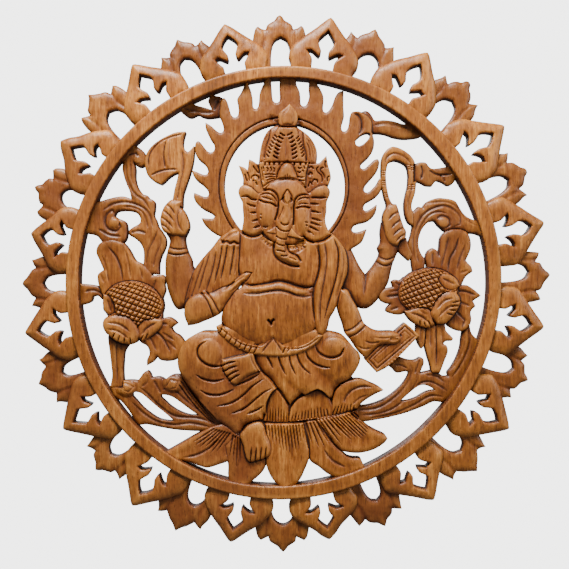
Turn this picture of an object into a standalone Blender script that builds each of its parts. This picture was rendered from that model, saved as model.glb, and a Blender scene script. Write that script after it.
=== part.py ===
"""Carved wooden wall panel: Ganesha seated on a lotus, inside a pierced ring with a leafy border.

It is one piece of wood. Every form is cut straight down from the front to the flat back, so each
is an outline carried from the back to its own height, rounded on top where the wood is rounded.
Metres, +Z up, +X to the right. The back lies on the plane y = 0 and the carving faces -Y.
"""

import math

import bmesh
import bpy
from mathutils import Matrix

PANEL_NAME = "carved_panel"

# Driving dimensions, in metres
RING_INNER_RADIUS = 0.230
RING_WIDTH = 0.0138
RING_HEIGHT = 0.0238
RING_EDGE = 0.0022
BORDER_WIDTH = 0.0562
SPADE_HEIGHT = 0.0205
SPADE_EDGE = 0.0030
LEAF_HEIGHT = 0.0138
RELIEF_HEIGHT = 0.0260

MOTIF_PAIRS = 16
RING_STEPS = 56
DOME_SIDES = 12
DOME_RINGS = 6
DISSOLVED_BEND = 0.3

# The drawing of the figure and the foliage is in hundredths of the ring's inner radius
UNIT = RING_INNER_RADIUS / 100
RING_OUTER_RADIUS = RING_INNER_RADIUS + RING_WIDTH

# How far each form is carried behind the back before the back is planed off
ALLOWANCE = 0.002
ALLOWANCE_STEP = 0.00003

# Heights of the relief above the back, as shares of RELIEF_HEIGHT
SPRIG = 0.44
LOTUS_WAIST = 0.50
STEM = 0.48
SCROLL = 0.57
HALO = 0.58
FOLIAGE = 0.62
BACK_PETAL = 0.54
SIDE_PETAL = 0.64
FRONT_PETAL = 0.76
ATTRIBUTE = 0.63
REAR_ARM = 0.60
SHAWL = 0.76
CLOTH = 0.82
FRONT_ARM = 0.88
BODY = 0.70
HAND = 0.74
BOOK = 0.78
EAR = 0.70
CREST = 0.64
CROWN = 0.76
NECKLACE = 0.83
SEED_HEAD = 0.86
BELT = 0.86
FACE = 0.86
CROWN_CONE = 0.88
LOWER_FOOT = 0.90
DIADEM = 0.93
TUSK = 0.93
UPPER_FOOT = 0.96
TRUNK = 0.985


def clear_scene():
    for obj in list(bpy.data.objects):
        bpy.data.objects.remove(obj, do_unlink=True)


def collection(name):
    made = bpy.data.collections.new(name)
    bpy.context.scene.collection.children.link(made)
    return made


clear_scene()
panel_collection = collection("carved_ganesha_panel")
form_collection = collection("forms_joined")
groove_collection = collection("grooves_cut")
piercing_collection = collection("piercings_cut")
form_count = 0


def hide_helper(obj):
    obj.hide_render = True
    obj.display_type = "WIRE"


def next_allowance():
    """Each form ends at its own depth behind the back, so that no two back faces lie in one plane."""
    global form_count
    form_count += 1
    return ALLOWANCE + form_count * ALLOWANCE_STEP


def mesh_object(name, curve, turned, into):
    """The curve as a welded mesh object, turned upright and put at its depth."""
    source = bpy.data.objects.new(name + "_curve", curve)
    into.objects.link(source)
    source.matrix_world = turned
    bpy.context.view_layer.update()
    graph = bpy.context.evaluated_depsgraph_get()
    mesh = bpy.data.meshes.new_from_object(source.evaluated_get(graph))
    made = bmesh.new()
    made.from_mesh(mesh)
    bmesh.ops.remove_doubles(made, verts=made.verts, dist=0.00001)
    bmesh.ops.recalc_face_normals(made, faces=made.faces)
    made.to_mesh(mesh)
    made.free()
    obj = bpy.data.objects.new(name, mesh)
    into.objects.link(obj)
    obj.matrix_world = turned
    bpy.data.objects.remove(source, do_unlink=True)
    hide_helper(obj)
    return obj


def upright(centre_y):
    """Turns a drawing in X and Y so that it stands in X and Z and its front faces -Y."""
    return Matrix.Translation((0, centre_y, 0)) @ Matrix.Rotation(math.pi / 2, 4, "X")


def outline_slab(name, loops, height, edge):
    """A form with the drawn outline, from behind the back to its height, its front edge cut off."""
    allowance = next_allowance() + edge
    curve = bpy.data.curves.new(name, "CURVE")
    curve.dimensions = "2D"
    curve.fill_mode = "BOTH"
    for loop in loops:
        spline = curve.splines.new("POLY")
        spline.points.add(len(loop) - 1)
        for point, (x, z) in zip(spline.points, loop):
            point.co = (x, z, 0, 1)
        spline.use_cyclic_u = True
    curve.extrude = (height + allowance) / 2 - edge
    curve.bevel_depth = edge
    curve.bevel_resolution = 0
    curve.offset = -edge
    return mesh_object(name, curve, upright((allowance - height) / 2), form_collection)


def pierce(obj, loop, height):
    """Cuts a hole with square walls right through one form."""
    cutter = outline_slab(obj.name + "_hole", [loop], 2 * height, 0.0)
    form_collection.objects.unlink(cutter)
    piercing_collection.objects.link(cutter)
    cutter.location.y += height / 2
    hole = obj.modifiers.new("hole", "BOOLEAN")
    hole.operation = "DIFFERENCE"
    hole.solver = "EXACT"
    hole.object = cutter


def drawn(points):
    return [(x * UNIT, z * UNIT) for x, z in points]


def form(name, points, share, edge=0.5, holes=()):
    """A form of the relief: its outline, edge and holes in drawing units, its height as a share."""
    height = share * RELIEF_HEIGHT
    obj = outline_slab(name, [drawn(points)], height, edge * UNIT)
    for hole in holes:
        pierce(obj, drawn(hole), height)
    return obj


def dome(name, centre, radii, share, lean=0.0, sides=DOME_SIDES):
    """Half an ellipsoid that rises from the back to its height, leaning by an angle in degrees."""
    made = bmesh.new()
    bmesh.ops.create_uvsphere(made, u_segments=sides, v_segments=DOME_RINGS, radius=1)
    size = Matrix.Diagonal((radii[0] * UNIT, radii[1] * UNIT, share * RELIEF_HEIGHT, 1))
    sink = Matrix.Translation((0, 0, -ALLOWANCE_STEP * next_allowance() / ALLOWANCE))
    turn = Matrix.Rotation(math.radians(lean), 4, "Z")
    bmesh.ops.transform(made, matrix=sink @ turn @ size, verts=made.verts)
    mesh = bpy.data.meshes.new(name)
    made.to_mesh(mesh)
    made.free()
    obj = bpy.data.objects.new(name, mesh)
    form_collection.objects.link(obj)
    place = Matrix.Translation((centre[0] * UNIT, 0, centre[1] * UNIT))
    obj.matrix_world = place @ Matrix.Rotation(math.pi / 2, 4, "X")
    hide_helper(obj)
    return obj


def groove(name, points, share, depth=0.5, closed=False):
    """A V-shaped cut along a line in a surface at the given height. It is as wide as it is deep."""
    curve = bpy.data.curves.new(name, "CURVE")
    curve.dimensions = "3D"
    spline = curve.splines.new("POLY")
    spline.points.add(len(points) - 1)
    lift = 0.12 * depth * UNIT
    for point, (x, z) in zip(spline.points, points):
        point.co = (x * UNIT, z * UNIT, share * RELIEF_HEIGHT + lift, 1)
    spline.use_cyclic_u = closed
    curve.bevel_depth = depth * UNIT
    curve.bevel_resolution = 0
    curve.use_fill_caps = not closed
    return mesh_object(name, curve, upright(0), groove_collection)


def ellipse(centre, radii, count):
    points = []
    for step in range(count):
        angle = math.tau * step / count
        points.append((centre[0] + radii[0] * math.cos(angle), centre[1] + radii[1] * math.sin(angle)))
    return points


def mirrored(half):
    """A closed outline from its right half, drawn from the bottom up to a tip on the axis."""
    return half + [(-side, reach) for side, reach in reversed(half[:-1])]


def polar(points, angle, reach):
    """Places a motif drawn as (sideways, share of the border's width) at an angle from the top."""
    turned = math.radians(angle)
    placed = []
    for side, share in points:
        radius = RING_OUTER_RADIUS + share * reach
        sideways = side * MOTIF_SCALE
        x = radius * math.sin(turned) + sideways * math.cos(turned)
        z = radius * math.cos(turned) - sideways * math.sin(turned)
        placed.append((x, z))
    return placed


# Ring


def ring():
    """The plain ring that holds the figure and the border together."""
    inner = RING_INNER_RADIUS
    outer = RING_OUTER_RADIUS
    behind = next_allowance()
    profile = [
        (outer, -behind),
        (outer, RING_HEIGHT - RING_EDGE),
        (outer - RING_EDGE, RING_HEIGHT),
        (inner + RING_EDGE, RING_HEIGHT),
        (inner, RING_HEIGHT - RING_EDGE),
        (inner, -behind),
    ]
    made = bmesh.new()
    corners = [made.verts.new((radius, 0, height)) for radius, height in profile]
    for first, second in zip(corners, corners[1:] + corners[:1]):
        made.edges.new((first, second))
    bmesh.ops.spin(
        made,
        geom=made.verts[:] + made.edges[:],
        cent=(0, 0, 0),
        axis=(0, 0, 1),
        angle=math.tau,
        steps=RING_STEPS,
        use_merge=True,
        use_normal_flip=False,
    )
    bmesh.ops.remove_doubles(made, verts=made.verts, dist=0.00001)
    bmesh.ops.recalc_face_normals(made, faces=made.faces)
    mesh = bpy.data.meshes.new("ring")
    made.to_mesh(mesh)
    made.free()
    obj = bpy.data.objects.new("ring", mesh)
    form_collection.objects.link(obj)
    obj.matrix_world = Matrix.Rotation(math.pi / 2, 4, "X")
    hide_helper(obj)
    return obj


# Border: the motifs' widths follow the pitch around the ring, their reach the border's width

DRAWN_RING_RADIUS = 106
DRAWN_PAIRS = 16
MOTIF_SCALE = RING_OUTER_RADIUS / DRAWN_RING_RADIUS * DRAWN_PAIRS / MOTIF_PAIRS

SPADE_HALF = [
    (15.2, -0.10),
    (17.1, 0.22),
    (14.8, 0.47),
    (11.2, 0.60),
    (3.6, 0.90),
    (0.0, 1.0),
]
FLEUR_HALF = [
    (5.4, -0.02),
    (5.4, 0.20),
    (8.6, 0.36),
    (2.2, 0.30),
    (4.0, 0.56),
    (0.0, 0.77),
]
LEAF_HALF = [
    (11.5, -0.10),
    (13.5, 0.62),
    (11.2, 0.82),
    (7.0, 0.75),
    (0.0, 1.0),
]
ARCH_HALF = [
    (5.0, -0.02),
    (4.1, 0.47),
    (0.0, 0.62),
]

# The hand-cut copies wander, from the top clockwise: by degrees off the even pitch, and in their
# reach as a share of the border's width
SPADE_WANDER = (
    -1.2, -1.6, -1.8, -2.0, -1.5, -0.8, -0.8, 1.0,
    0.5, 0.5, 0.3, 0.3, -0.3, -1.4, -1.0, -1.7,
)
SPADE_REACH = (
    1.05, 1.10, 1.08, 1.0, 0.94, 1.04, 0.94, 0.89,
    0.97, 1.07, 0.98, 0.96, 0.84, 0.97, 0.99, 0.98,
)
LEAF_WANDER = (
    -1.0, -2.2, -2.3, -2.5, -2.6, -1.8, -1.3, -0.3,
    0.2, 0.6, 0.1, 0.1, -0.3, -1.3, -1.3, -1.4,
)
LEAF_REACH = (
    1.05, 1.08, 1.16, 1.05, 1.02, 0.95, 1.09, 0.96,
    1.08, 1.12, 1.02, 1.02, 0.94, 1.03, 1.12, 1.01,
)


def border():
    """Spade-shaped leaves with a pierced fleur, and lower three-pointed leaves between them."""
    pitch = 360 / MOTIF_PAIRS
    for index in range(MOTIF_PAIRS):
        wander = index % len(SPADE_WANDER)
        leaf_angle = pitch * index + LEAF_WANDER[wander]
        leaf_reach = BORDER_WIDTH * LEAF_REACH[wander]
        spade_angle = pitch * (index + 0.5) + SPADE_WANDER[wander]
        spade_reach = BORDER_WIDTH * SPADE_REACH[wander]
        leaf = polar(mirrored(LEAF_HALF), leaf_angle, leaf_reach)
        arch = polar(mirrored(ARCH_HALF), leaf_angle, BORDER_WIDTH)
        spade = polar(mirrored(SPADE_HALF), spade_angle, spade_reach)
        fleur = polar(mirrored(FLEUR_HALF), spade_angle, spade_reach)
        outline_slab(f"border_leaf_{index}", [leaf, arch], LEAF_HEIGHT, 0.0)
        raised = outline_slab(f"border_spade_{index}", [spade], SPADE_HEIGHT, SPADE_EDGE)
        pierce(raised, fleur, SPADE_HEIGHT)


# Halo


def halo():
    """An oval band behind the head with flames around it, each curling up to a point."""
    left = [
        (-2.2, 88.7), (-4.0, 88.0), (-6.1, 90.0), (-6.3, 101.5), (-9.5, 101.5), (-12.0, 94.0),
        (-14.3, 85.7), (-16.2, 94.0), (-18.0, 100.0), (-20.0, 97.0), (-22.6, 85.0), (-24.5, 81.5),
        (-27.3, 87.0), (-28.8, 91.0), (-31.2, 85.5), (-30.3, 78.0), (-30.8, 74.2), (-35.0, 76.3),
        (-38.6, 79.0), (-38.0, 74.0), (-34.5, 67.5), (-36.0, 64.0), (-40.5, 67.5), (-45.5, 72.0),
        (-44.0, 63.5), (-37.8, 53.8), (-45.2, 55.5), (-43.0, 50.0), (-37.4, 42.8), (-44.4, 44.2),
        (-42.0, 38.0), (-34.3, 32.2), (-40.7, 31.8), (-37.5, 27.5), (-30.0, 21.0),
    ]
    right = [
        (31.0, 15.0), (37.5, 18.5), (40.4, 26.3), (33.3, 25.6), (40.0, 30.0), (45.4, 38.3),
        (39.2, 36.0), (46.3, 43.5), (48.6, 50.8), (44.0, 47.0), (39.6, 45.4), (44.5, 52.5),
        (47.2, 61.5), (42.5, 59.0), (38.2, 56.3), (43.8, 65.5), (44.6, 73.0), (40.0, 70.0),
        (35.4, 68.3), (38.5, 72.2), (43.0, 73.8), (39.0, 79.0), (33.8, 84.2), (31.7, 79.0),
        (28.6, 76.5), (29.6, 86.0), (28.3, 94.4), (24.5, 89.5), (20.6, 84.2), (19.8, 91.0),
        (14.5, 101.0), (11.8, 91.0), (9.5, 87.0), (7.8, 91.0), (5.2, 101.5), (-2.2, 101.5),
    ]
    opening = ellipse((0.3, 47.5), (29.8, 31.0), 26)
    form("halo", left + right, HALO, 0.0, holes=[opening])
    groove("halo_line", ellipse((0.1, 47.6), (32.6, 34.2), 24), HALO, 0.5, closed=True)


def sprigs():
    """Short curled sprigs that tie the halo and the noose to the ring."""
    left = [
        (-55.0, 89.0), (-52.0, 84.0), (-48.0, 81.8), (-45.5, 81.0), (-42.5, 82.8), (-38.0, 81.0),
        (-31.0, 81.0), (-29.5, 88.5), (-31.0, 91.6), (-34.0, 92.4), (-38.0, 91.6), (-44.0, 91.0),
    ]
    gap = [(-47.0, 89.3), (-38.8, 91.0), (-36.8, 86.0), (-42.0, 86.6)]
    form("sprig_left", left, SPRIG, 0.0, holes=[gap])
    right = [
        (33.0, 82.5), (39.0, 84.3), (43.0, 83.3), (45.0, 80.3), (52.0, 80.0), (61.0, 80.0),
        (69.5, 74.5), (63.5, 71.6), (57.0, 71.0), (50.0, 73.0), (42.0, 73.2), (36.0, 77.0),
    ]
    form("sprig_right", right, SPRIG, 0.0)
    middle = [
        (63.0, 58.5), (67.0, 59.6), (70.3, 59.2), (73.0, 56.4), (80.5, 57.0), (87.0, 56.0),
        (86.0, 52.0), (82.5, 48.0), (78.0, 49.8), (75.0, 50.2), (73.0, 47.6), (66.0, 49.6), (63.0, 49.0),
    ]
    form("sprig_middle", middle, SPRIG, 0.0)


def scrolls():
    """Two large curling leaves between the raised hands and the ring."""
    left = [
        (-76.0, 67.5), (-69.0, 65.0), (-68.0, 61.0), (-69.5, 57.0), (-73.6, 57.5), (-73.5, 52.0),
        (-71.8, 46.5), (-69.5, 43.6), (-66.5, 41.8), (-64.0, 40.2), (-64.0, 33.0), (-61.5, 27.0),
        (-58.3, 23.0), (-59.0, 16.5), (-62.5, 6.0), (-69.5, 6.0), (-69.0, 13.0), (-70.5, 18.7),
        (-76.8, 23.9), (-75.0, 27.3), (-71.6, 28.8), (-71.2, 32.0), (-74.0, 34.8), (-79.0, 35.4),
        (-83.5, 33.0), (-79.6, 31.0), (-77.6, 27.5), (-78.2, 21.0), (-83.0, 18.5), (-89.3, 19.8),
        (-93.5, 22.5), (-98.5, 24.5), (-95.5, 40.0), (-90.0, 41.0), (-84.0, 42.2), (-75.4, 41.6),
        (-77.6, 48.0), (-80.0, 56.0), (-82.5, 62.0),
    ]
    form("scroll_left", left, SCROLL, 0.0)
    groove(
        "scroll_left_line",
        [(-66.0, 27.5), (-67.0, 32.0), (-71.0, 36.6), (-78.0, 38.6), (-84.5, 37.0), (-88.0, 32.0),
         (-87.0, 27.5), (-83.0, 25.6)],
        SCROLL,
        0.6,
    )
    groove("stalk_left_line", [(-68.0, 10.0), (-65.5, 17.0), (-62.6, 25.0)], SCROLL, 0.5)
    groove("stem_left_line", [(-77.0, 58.0), (-76.4, 50.0), (-72.0, 43.0)], SCROLL, 0.5)
    right = [
        (97.5, 24.0), (91.0, 23.0), (85.0, 24.0), (79.5, 25.2), (76.0, 28.4), (74.0, 30.4),
        (70.5, 29.3), (67.0, 24.0), (66.3, 18.0), (69.2, 11.5), (69.0, 6.5), (64.5, 6.5),
        (62.5, 12.0), (61.0, 19.0), (62.8, 24.5), (63.2, 28.6), (60.4, 31.0), (59.2, 35.0),
        (63.2, 36.0), (66.0, 37.6), (68.4, 37.6), (70.5, 40.0), (76.0, 41.8), (84.3, 40.3),
        (88.5, 34.0), (92.5, 31.0), (96.0, 30.0),
    ]
    form("scroll_right", right, SCROLL, 0.0)
    groove(
        "scroll_right_line",
        [(64.8, 15.0), (64.6, 24.0), (68.0, 32.5), (74.0, 36.5), (80.5, 36.0), (85.0, 32.0), (83.0, 28.0)],
        SCROLL,
        0.6,
    )


# What the raised hands hold


def axe():
    blade = [
        (-48.5, 74.3), (-57.0, 72.5), (-65.0, 67.5), (-68.7, 60.0), (-67.0, 52.5), (-60.7, 48.2),
        (-57.0, 51.5), (-52.0, 54.0), (-54.0, 46.0), (-55.5, 38.0), (-49.5, 38.0), (-49.6, 43.0),
        (-46.5, 53.0), (-44.0, 66.5), (-47.5, 64.3), (-49.8, 67.0),
    ]
    form("axe", blade, ATTRIBUTE, 0.0)
    groove("axe_edge", [(-56.8, 73.5), (-57.3, 63.0), (-56.0, 53.0)], ATTRIBUTE, 0.5)


def noose():
    outer = [
        (50.0, 36.0), (48.3, 48.0), (48.2, 61.0), (50.0, 65.0), (53.0, 66.8), (60.0, 64.3),
        (64.7, 58.0), (65.0, 49.0), (62.6, 38.0), (63.4, 34.0), (63.4, 28.4), (60.2, 31.5),
        (59.2, 38.0), (60.9, 50.0), (60.0, 57.5), (54.0, 60.0), (50.6, 56.0), (50.7, 46.0), (54.0, 36.5),
    ]
    form("noose", outer, ATTRIBUTE, 0.0)
    for number, (x, z, lean) in enumerate([(47.8, 42.0, 0.5), (60.0, 47.0, 1.0)]):
        groove(f"noose_binding_{number}", [(x, z), (x + 5.5, z + lean)], ATTRIBUTE, 0.5)


def book():
    cover = [(59.0, -19.5), (66.5, -26.0), (59.5, -33.5), (52.0, -41.5), (45.0, -44.0), (39.5, -38.0)]
    form("book", cover, BOOK)
    frame = [(59.2, -22.2), (64.0, -26.2), (45.6, -41.6), (41.6, -37.6)]
    groove("book_frame", frame, BOOK, 0.45, closed=True)


# Figure: arms, shawl, body, head and legs


def rear_arms():
    left = [
        (-58.5, 38.5), (-61.0, 30.0), (-59.0, 24.5), (-56.0, 20.0), (-58.7, 10.0), (-58.2, 0.0),
        (-55.5, -9.0), (-53.0, -12.6), (-49.3, -12.6), (-46.0, -8.0), (-40.0, 5.0), (-44.8, 8.0),
        (-47.0, 15.0), (-48.4, 20.0), (-46.7, 27.0), (-48.0, 33.0), (-51.0, 39.5),
    ]
    form("rear_arm_left", left, REAR_ARM, 1.6)
    hand = [(-58.5, 38.5), (-61.0, 30.0), (-59.0, 25.0), (-55.0, 25.5), (-53.0, 31.0), (-54.5, 37.5)]
    form("hand_left", hand, HAND, 0.7)
    for shift in (0.0, 2.3, 4.6):
        groove(f"finger_left_{shift:.0f}", [(-60.5 + shift, 34.5), (-56.5 + shift, 27.5)], HAND, 0.35)
    groove("bangle_left", [(-59.0, 15.6), (-44.5, 16.0)], REAR_ARM, 0.5)
    right = [
        (23.5, 24.3), (29.0, 21.0), (35.5, 11.5), (40.0, 4.5), (44.0, 9.0), (46.8, 14.0),
        (47.4, 25.0), (48.5, 33.5), (51.0, 39.0), (55.5, 39.0), (56.0, 34.0), (59.5, 25.0),
        (57.5, 16.5), (53.5, 9.0), (51.5, 0.0), (46.0, -8.5), (40.0, -13.0), (34.0, -10.5), (28.0, -2.0),
    ]
    form("rear_arm_right", right, REAR_ARM, 1.6)
    hand = [
        (51.0, 39.0), (55.5, 38.0), (57.5, 30.5), (59.8, 25.0), (57.5, 19.5), (53.0, 20.5), (51.0, 28.0),
    ]
    form("hand_right", hand, HAND, 0.7)
    for drop in (0.0, 3.6, 7.2):
        groove(f"finger_right_{drop:.0f}", [(51.5, 28.0 - drop), (57.0, 33.5 - drop)], HAND, 0.35)
    groove("bangle_right", [(45.0, 12.4), (55.5, 10.2)], REAR_ARM, 0.5)
    scrap = [(56.0, 21.0), (61.0, 20.0), (64.0, 13.0), (61.0, 10.5), (56.0, 16.0)]
    form("stalk_right", scrap, SCROLL * 0.96, 0.4)


def shawl():
    left = [
        (-20.0, 26.5), (-24.5, 26.9), (-31.7, 22.3), (-39.0, 13.5), (-45.0, 5.0), (-49.0, -8.0),
        (-48.8, -15.0), (-47.0, -21.2), (-38.0, -18.3), (-30.0, -14.5), (-24.0, -3.0), (-20.0, 6.0),
    ]
    form("shawl_left", left, SHAWL, 1.4)
    folds = [
        [(-31.0, 20.0), (-32.5, 12.0), (-33.0, 3.0)],
        [(-26.5, 19.0), (-28.0, 11.0), (-28.0, 3.0)],
        [(-36.0, 15.0), (-38.0, 5.0), (-41.0, -6.0)],
        [(-41.0, 8.5), (-44.0, 0.0), (-46.5, -9.0)],
    ]
    for number, fold in enumerate(folds):
        groove(f"fold_left_{number}", fold, SHAWL, 0.6)
    right = [
        (10.5, 21.5), (17.0, 24.5), (23.5, 25.3), (30.0, 16.0), (31.2, 8.0), (29.3, 0.0),
        (25.8, -11.0), (22.0, -17.5), (20.0, -26.0), (14.5, -26.5), (14.0, -10.0), (14.8, 0.0), (17.3, 9.0),
    ]
    form("shawl_right", right, SHAWL * 1.02, 1.2)
    folds = [
        [(21.0, 20.0), (21.2, 9.0), (19.5, -3.0), (18.0, -22.0)],
        [(25.3, 20.0), (26.6, 10.0), (24.5, 0.0), (21.0, -13.0)],
    ]
    for number, fold in enumerate(folds):
        groove(f"fold_right_{number}", fold, SHAWL * 1.02, 0.6)


def front_arms():
    left = [
        (-47.0, -20.6), (-48.6, -13.0), (-45.0, -7.0), (-38.0, -5.0), (-31.0, -2.0), (-26.5, -0.5),
        (-21.0, 4.3), (-15.5, 5.2), (-17.0, 0.5), (-22.0, -2.5), (-26.5, -8.0), (-30.0, -14.5),
        (-38.0, -18.6),
    ]
    form("front_arm_left", left, FRONT_ARM, 1.5)
    groove("cuff_left", [(-40.0, -6.0), (-36.0, -10.0), (-32.5, -17.0)], FRONT_ARM, 0.5)
    right = [
        (27.5, -3.0), (26.0, -10.0), (27.0, -17.0), (30.0, -26.0), (34.0, -30.0), (40.0, -37.5),
        (44.0, -33.5), (49.0, -31.0), (57.0, -29.5), (56.0, -26.5), (50.0, -23.6), (43.5, -23.0),
        (39.0, -19.5), (36.0, -12.0), (33.0, -4.0),
    ]
    form("front_arm_right", right, FRONT_ARM, 1.2)
    groove("cuff_right", [(29.0, -25.0), (33.5, -22.0), (39.5, -17.5)], FRONT_ARM, 0.5)
    groove("thumb_right", [(45.5, -27.0), (51.0, -27.6), (57.0, -28.4)], FRONT_ARM, 0.4)


def body():
    trunk_of_body = [
        (-22.0, 22.0), (-24.0, 5.0), (-22.0, -4.0), (-29.5, -12.0), (-32.0, -19.0), (-30.0, -27.0),
        (-18.0, -34.0), (0.0, -37.0), (12.0, -34.0), (20.0, -25.0), (17.0, -12.0), (18.0, 8.0),
        (19.0, 22.0), (0.0, 26.0),
    ]
    form("chest_block", trunk_of_body, BODY, 0.0)
    dome("belly", (-6.5, -14.5), (24.5, 19.0), 0.985)
    dome("breast_left", (-11.0, 5.5), (11.5, 9.0), 0.90, sides=10)
    dome("breast_right", (6.0, 5.0), (10.5, 8.6), 0.89, sides=10)
    groove("navel", [(-7.4, -19.3), (-5.6, -19.3)], 0.97, 0.9)
    belt = [
        (-34.0, -22.5), (-31.0, -21.0), (-26.0, -26.0), (-20.0, -29.3), (-12.0, -30.5), (-5.5, -27.0),
        (0.0, -30.5), (8.0, -30.3), (15.0, -26.5), (19.0, -24.0), (18.0, -28.0), (11.0, -33.2),
        (0.0, -36.0), (-10.0, -36.0), (-20.0, -33.8), (-29.0, -28.5),
    ]
    form("belt", belt, BELT, 0.0)


def head():
    ear_left = [
        (-12.0, 47.0), (-17.5, 49.0), (-22.2, 46.2), (-22.2, 43.0), (-20.4, 36.0), (-20.5, 27.0),
        (-19.0, 23.6), (-12.0, 24.0), (-10.0, 30.0), (-10.0, 42.0),
    ]
    form("ear_left", ear_left, EAR, 0.0)
    ear_right = [
        (11.0, 47.0), (17.5, 48.5), (22.4, 46.0), (21.6, 40.5), (20.4, 32.0), (22.6, 24.0),
        (18.0, 21.2), (12.5, 20.0), (9.0, 24.0), (10.0, 42.0),
    ]
    form("ear_right", ear_right, EAR, 0.0)
    for number, rise in enumerate((37.0, 32.6, 28.2)):
        groove(f"ear_left_rib_{number}", [(-20.0, rise - 0.6), (-14.5, rise + 0.3)], EAR, 0.4)
        groove(f"ear_right_rib_{number}", [(14.5, rise + 0.2), (20.2, rise - 0.5)], EAR, 0.4)
    crests = [
        [(-9.0, 46.0), (-12.0, 44.5), (-21.0, 49.5), (-22.4, 57.4), (-18.2, 56.0), (-17.2, 60.5),
         (-13.5, 58.8), (-9.0, 57.0)],
        [(9.0, 46.0), (12.5, 44.5), (22.0, 48.5), (22.8, 53.0), (20.8, 62.2), (13.5, 58.8), (9.0, 57.0)],
    ]
    for number, crest in enumerate(crests):
        form(f"crest_{number}", crest, CREST, 0.0)
    crown = [
        (-12.0, 57.0), (-12.4, 61.0), (-10.5, 71.0), (-5.0, 76.6), (-2.6, 78.5), (-2.6, 82.5),
        (2.6, 87.6), (6.6, 82.5), (5.4, 77.5), (12.0, 72.0), (16.0, 65.0), (16.0, 60.0), (12.5, 57.0),
    ]
    form("crown", crown, CROWN, 1.0)
    cone = [(-9.5, 59.0), (-2.4, 76.3), (5.3, 76.3), (11.0, 59.0)]
    form("crown_cone", cone, CROWN_CONE, 1.2)
    for side in (-1, 1):
        groove(f"crown_rib_{side}", [(0.6 + 4.8 * side, 59.5), (1.4 + 1.6 * side, 75.5)], CROWN_CONE)
        groove(f"crown_panel_{side}", [(2.0 + 11.9 * side, 60.0), (2.0 + 7.5 * side, 73.0)], CROWN, 0.45)
    finial = [(-1.0, 80.5), (2.6, 86.0), (5.2, 81.0), (2.3, 78.3)]
    form("finial", finial, CROWN_CONE - 0.02, 0.8)
    diadem = [
        (-11.0, 49.0), (-11.5, 55.5), (-5.0, 58.8), (1.3, 60.6), (7.0, 58.8), (12.0, 55.5), (11.0, 49.0),
    ]
    form("diadem", diadem, DIADEM, 0.0)
    face = [
        (-13.7, 40.0), (-12.5, 44.5), (-9.0, 47.5), (-5.0, 50.2), (0.0, 51.6), (6.0, 50.6),
        (10.2, 47.0), (13.2, 40.0), (12.5, 31.0), (10.0, 23.5), (4.0, 20.5), (-5.0, 21.0),
        (-11.5, 25.5), (-13.8, 32.0),
    ]
    form("face", face, FACE, 1.4)
    dome("forehead", (0.6, 41.5), (10.5, 9.0), 0.95, sides=10)
    trunk = [
        (-3.0, 41.0), (-3.6, 33.0), (-3.7, 24.0), (-4.2, 15.0), (-3.4, 12.0), (0.5, 9.6),
        (5.5, 8.6), (7.2, 10.2), (6.4, 12.4), (2.2, 13.6), (0.8, 16.0), (1.4, 22.0),
        (4.0, 27.0), (4.4, 34.0), (4.6, 41.0),
    ]
    form("trunk", trunk, TRUNK, 0.9)
    for number, rise in enumerate((26.6, 23.0, 19.4, 15.8)):
        groove(f"trunk_ring_{number}", [(-5.0, rise + 0.3), (3.8, rise - 0.3)], TRUNK, 0.4)
    form("tusk_right", [(3.2, 27.0), (8.8, 21.6), (2.0, 21.4)], TUSK, 0.4)
    form("tusk_left", [(-3.4, 28.2), (-10.2, 24.6), (-3.4, 23.4)], TUSK, 0.4)
    form("brow_mark", [(1.2, 45.6), (3.1, 40.8), (1.3, 38.2), (-0.5, 42.0)], 1.0, 0.4)
    groove("eyelid_left", [(-12.0, 41.2), (-8.0, 39.2), (-4.0, 37.0)], FACE + 0.01)
    groove("eyelid_right", [(5.2, 37.0), (9.0, 38.4), (12.4, 38.2)], FACE + 0.01)
    necklace = [
        (-12.0, 24.6), (-8.0, 17.5), (-2.5, 14.5), (5.0, 14.8), (9.0, 17.6), (11.6, 20.5), (9.5, 22.5),
        (-9.5, 26.0),
    ]
    form("necklace", necklace, NECKLACE, 0.0)


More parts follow.
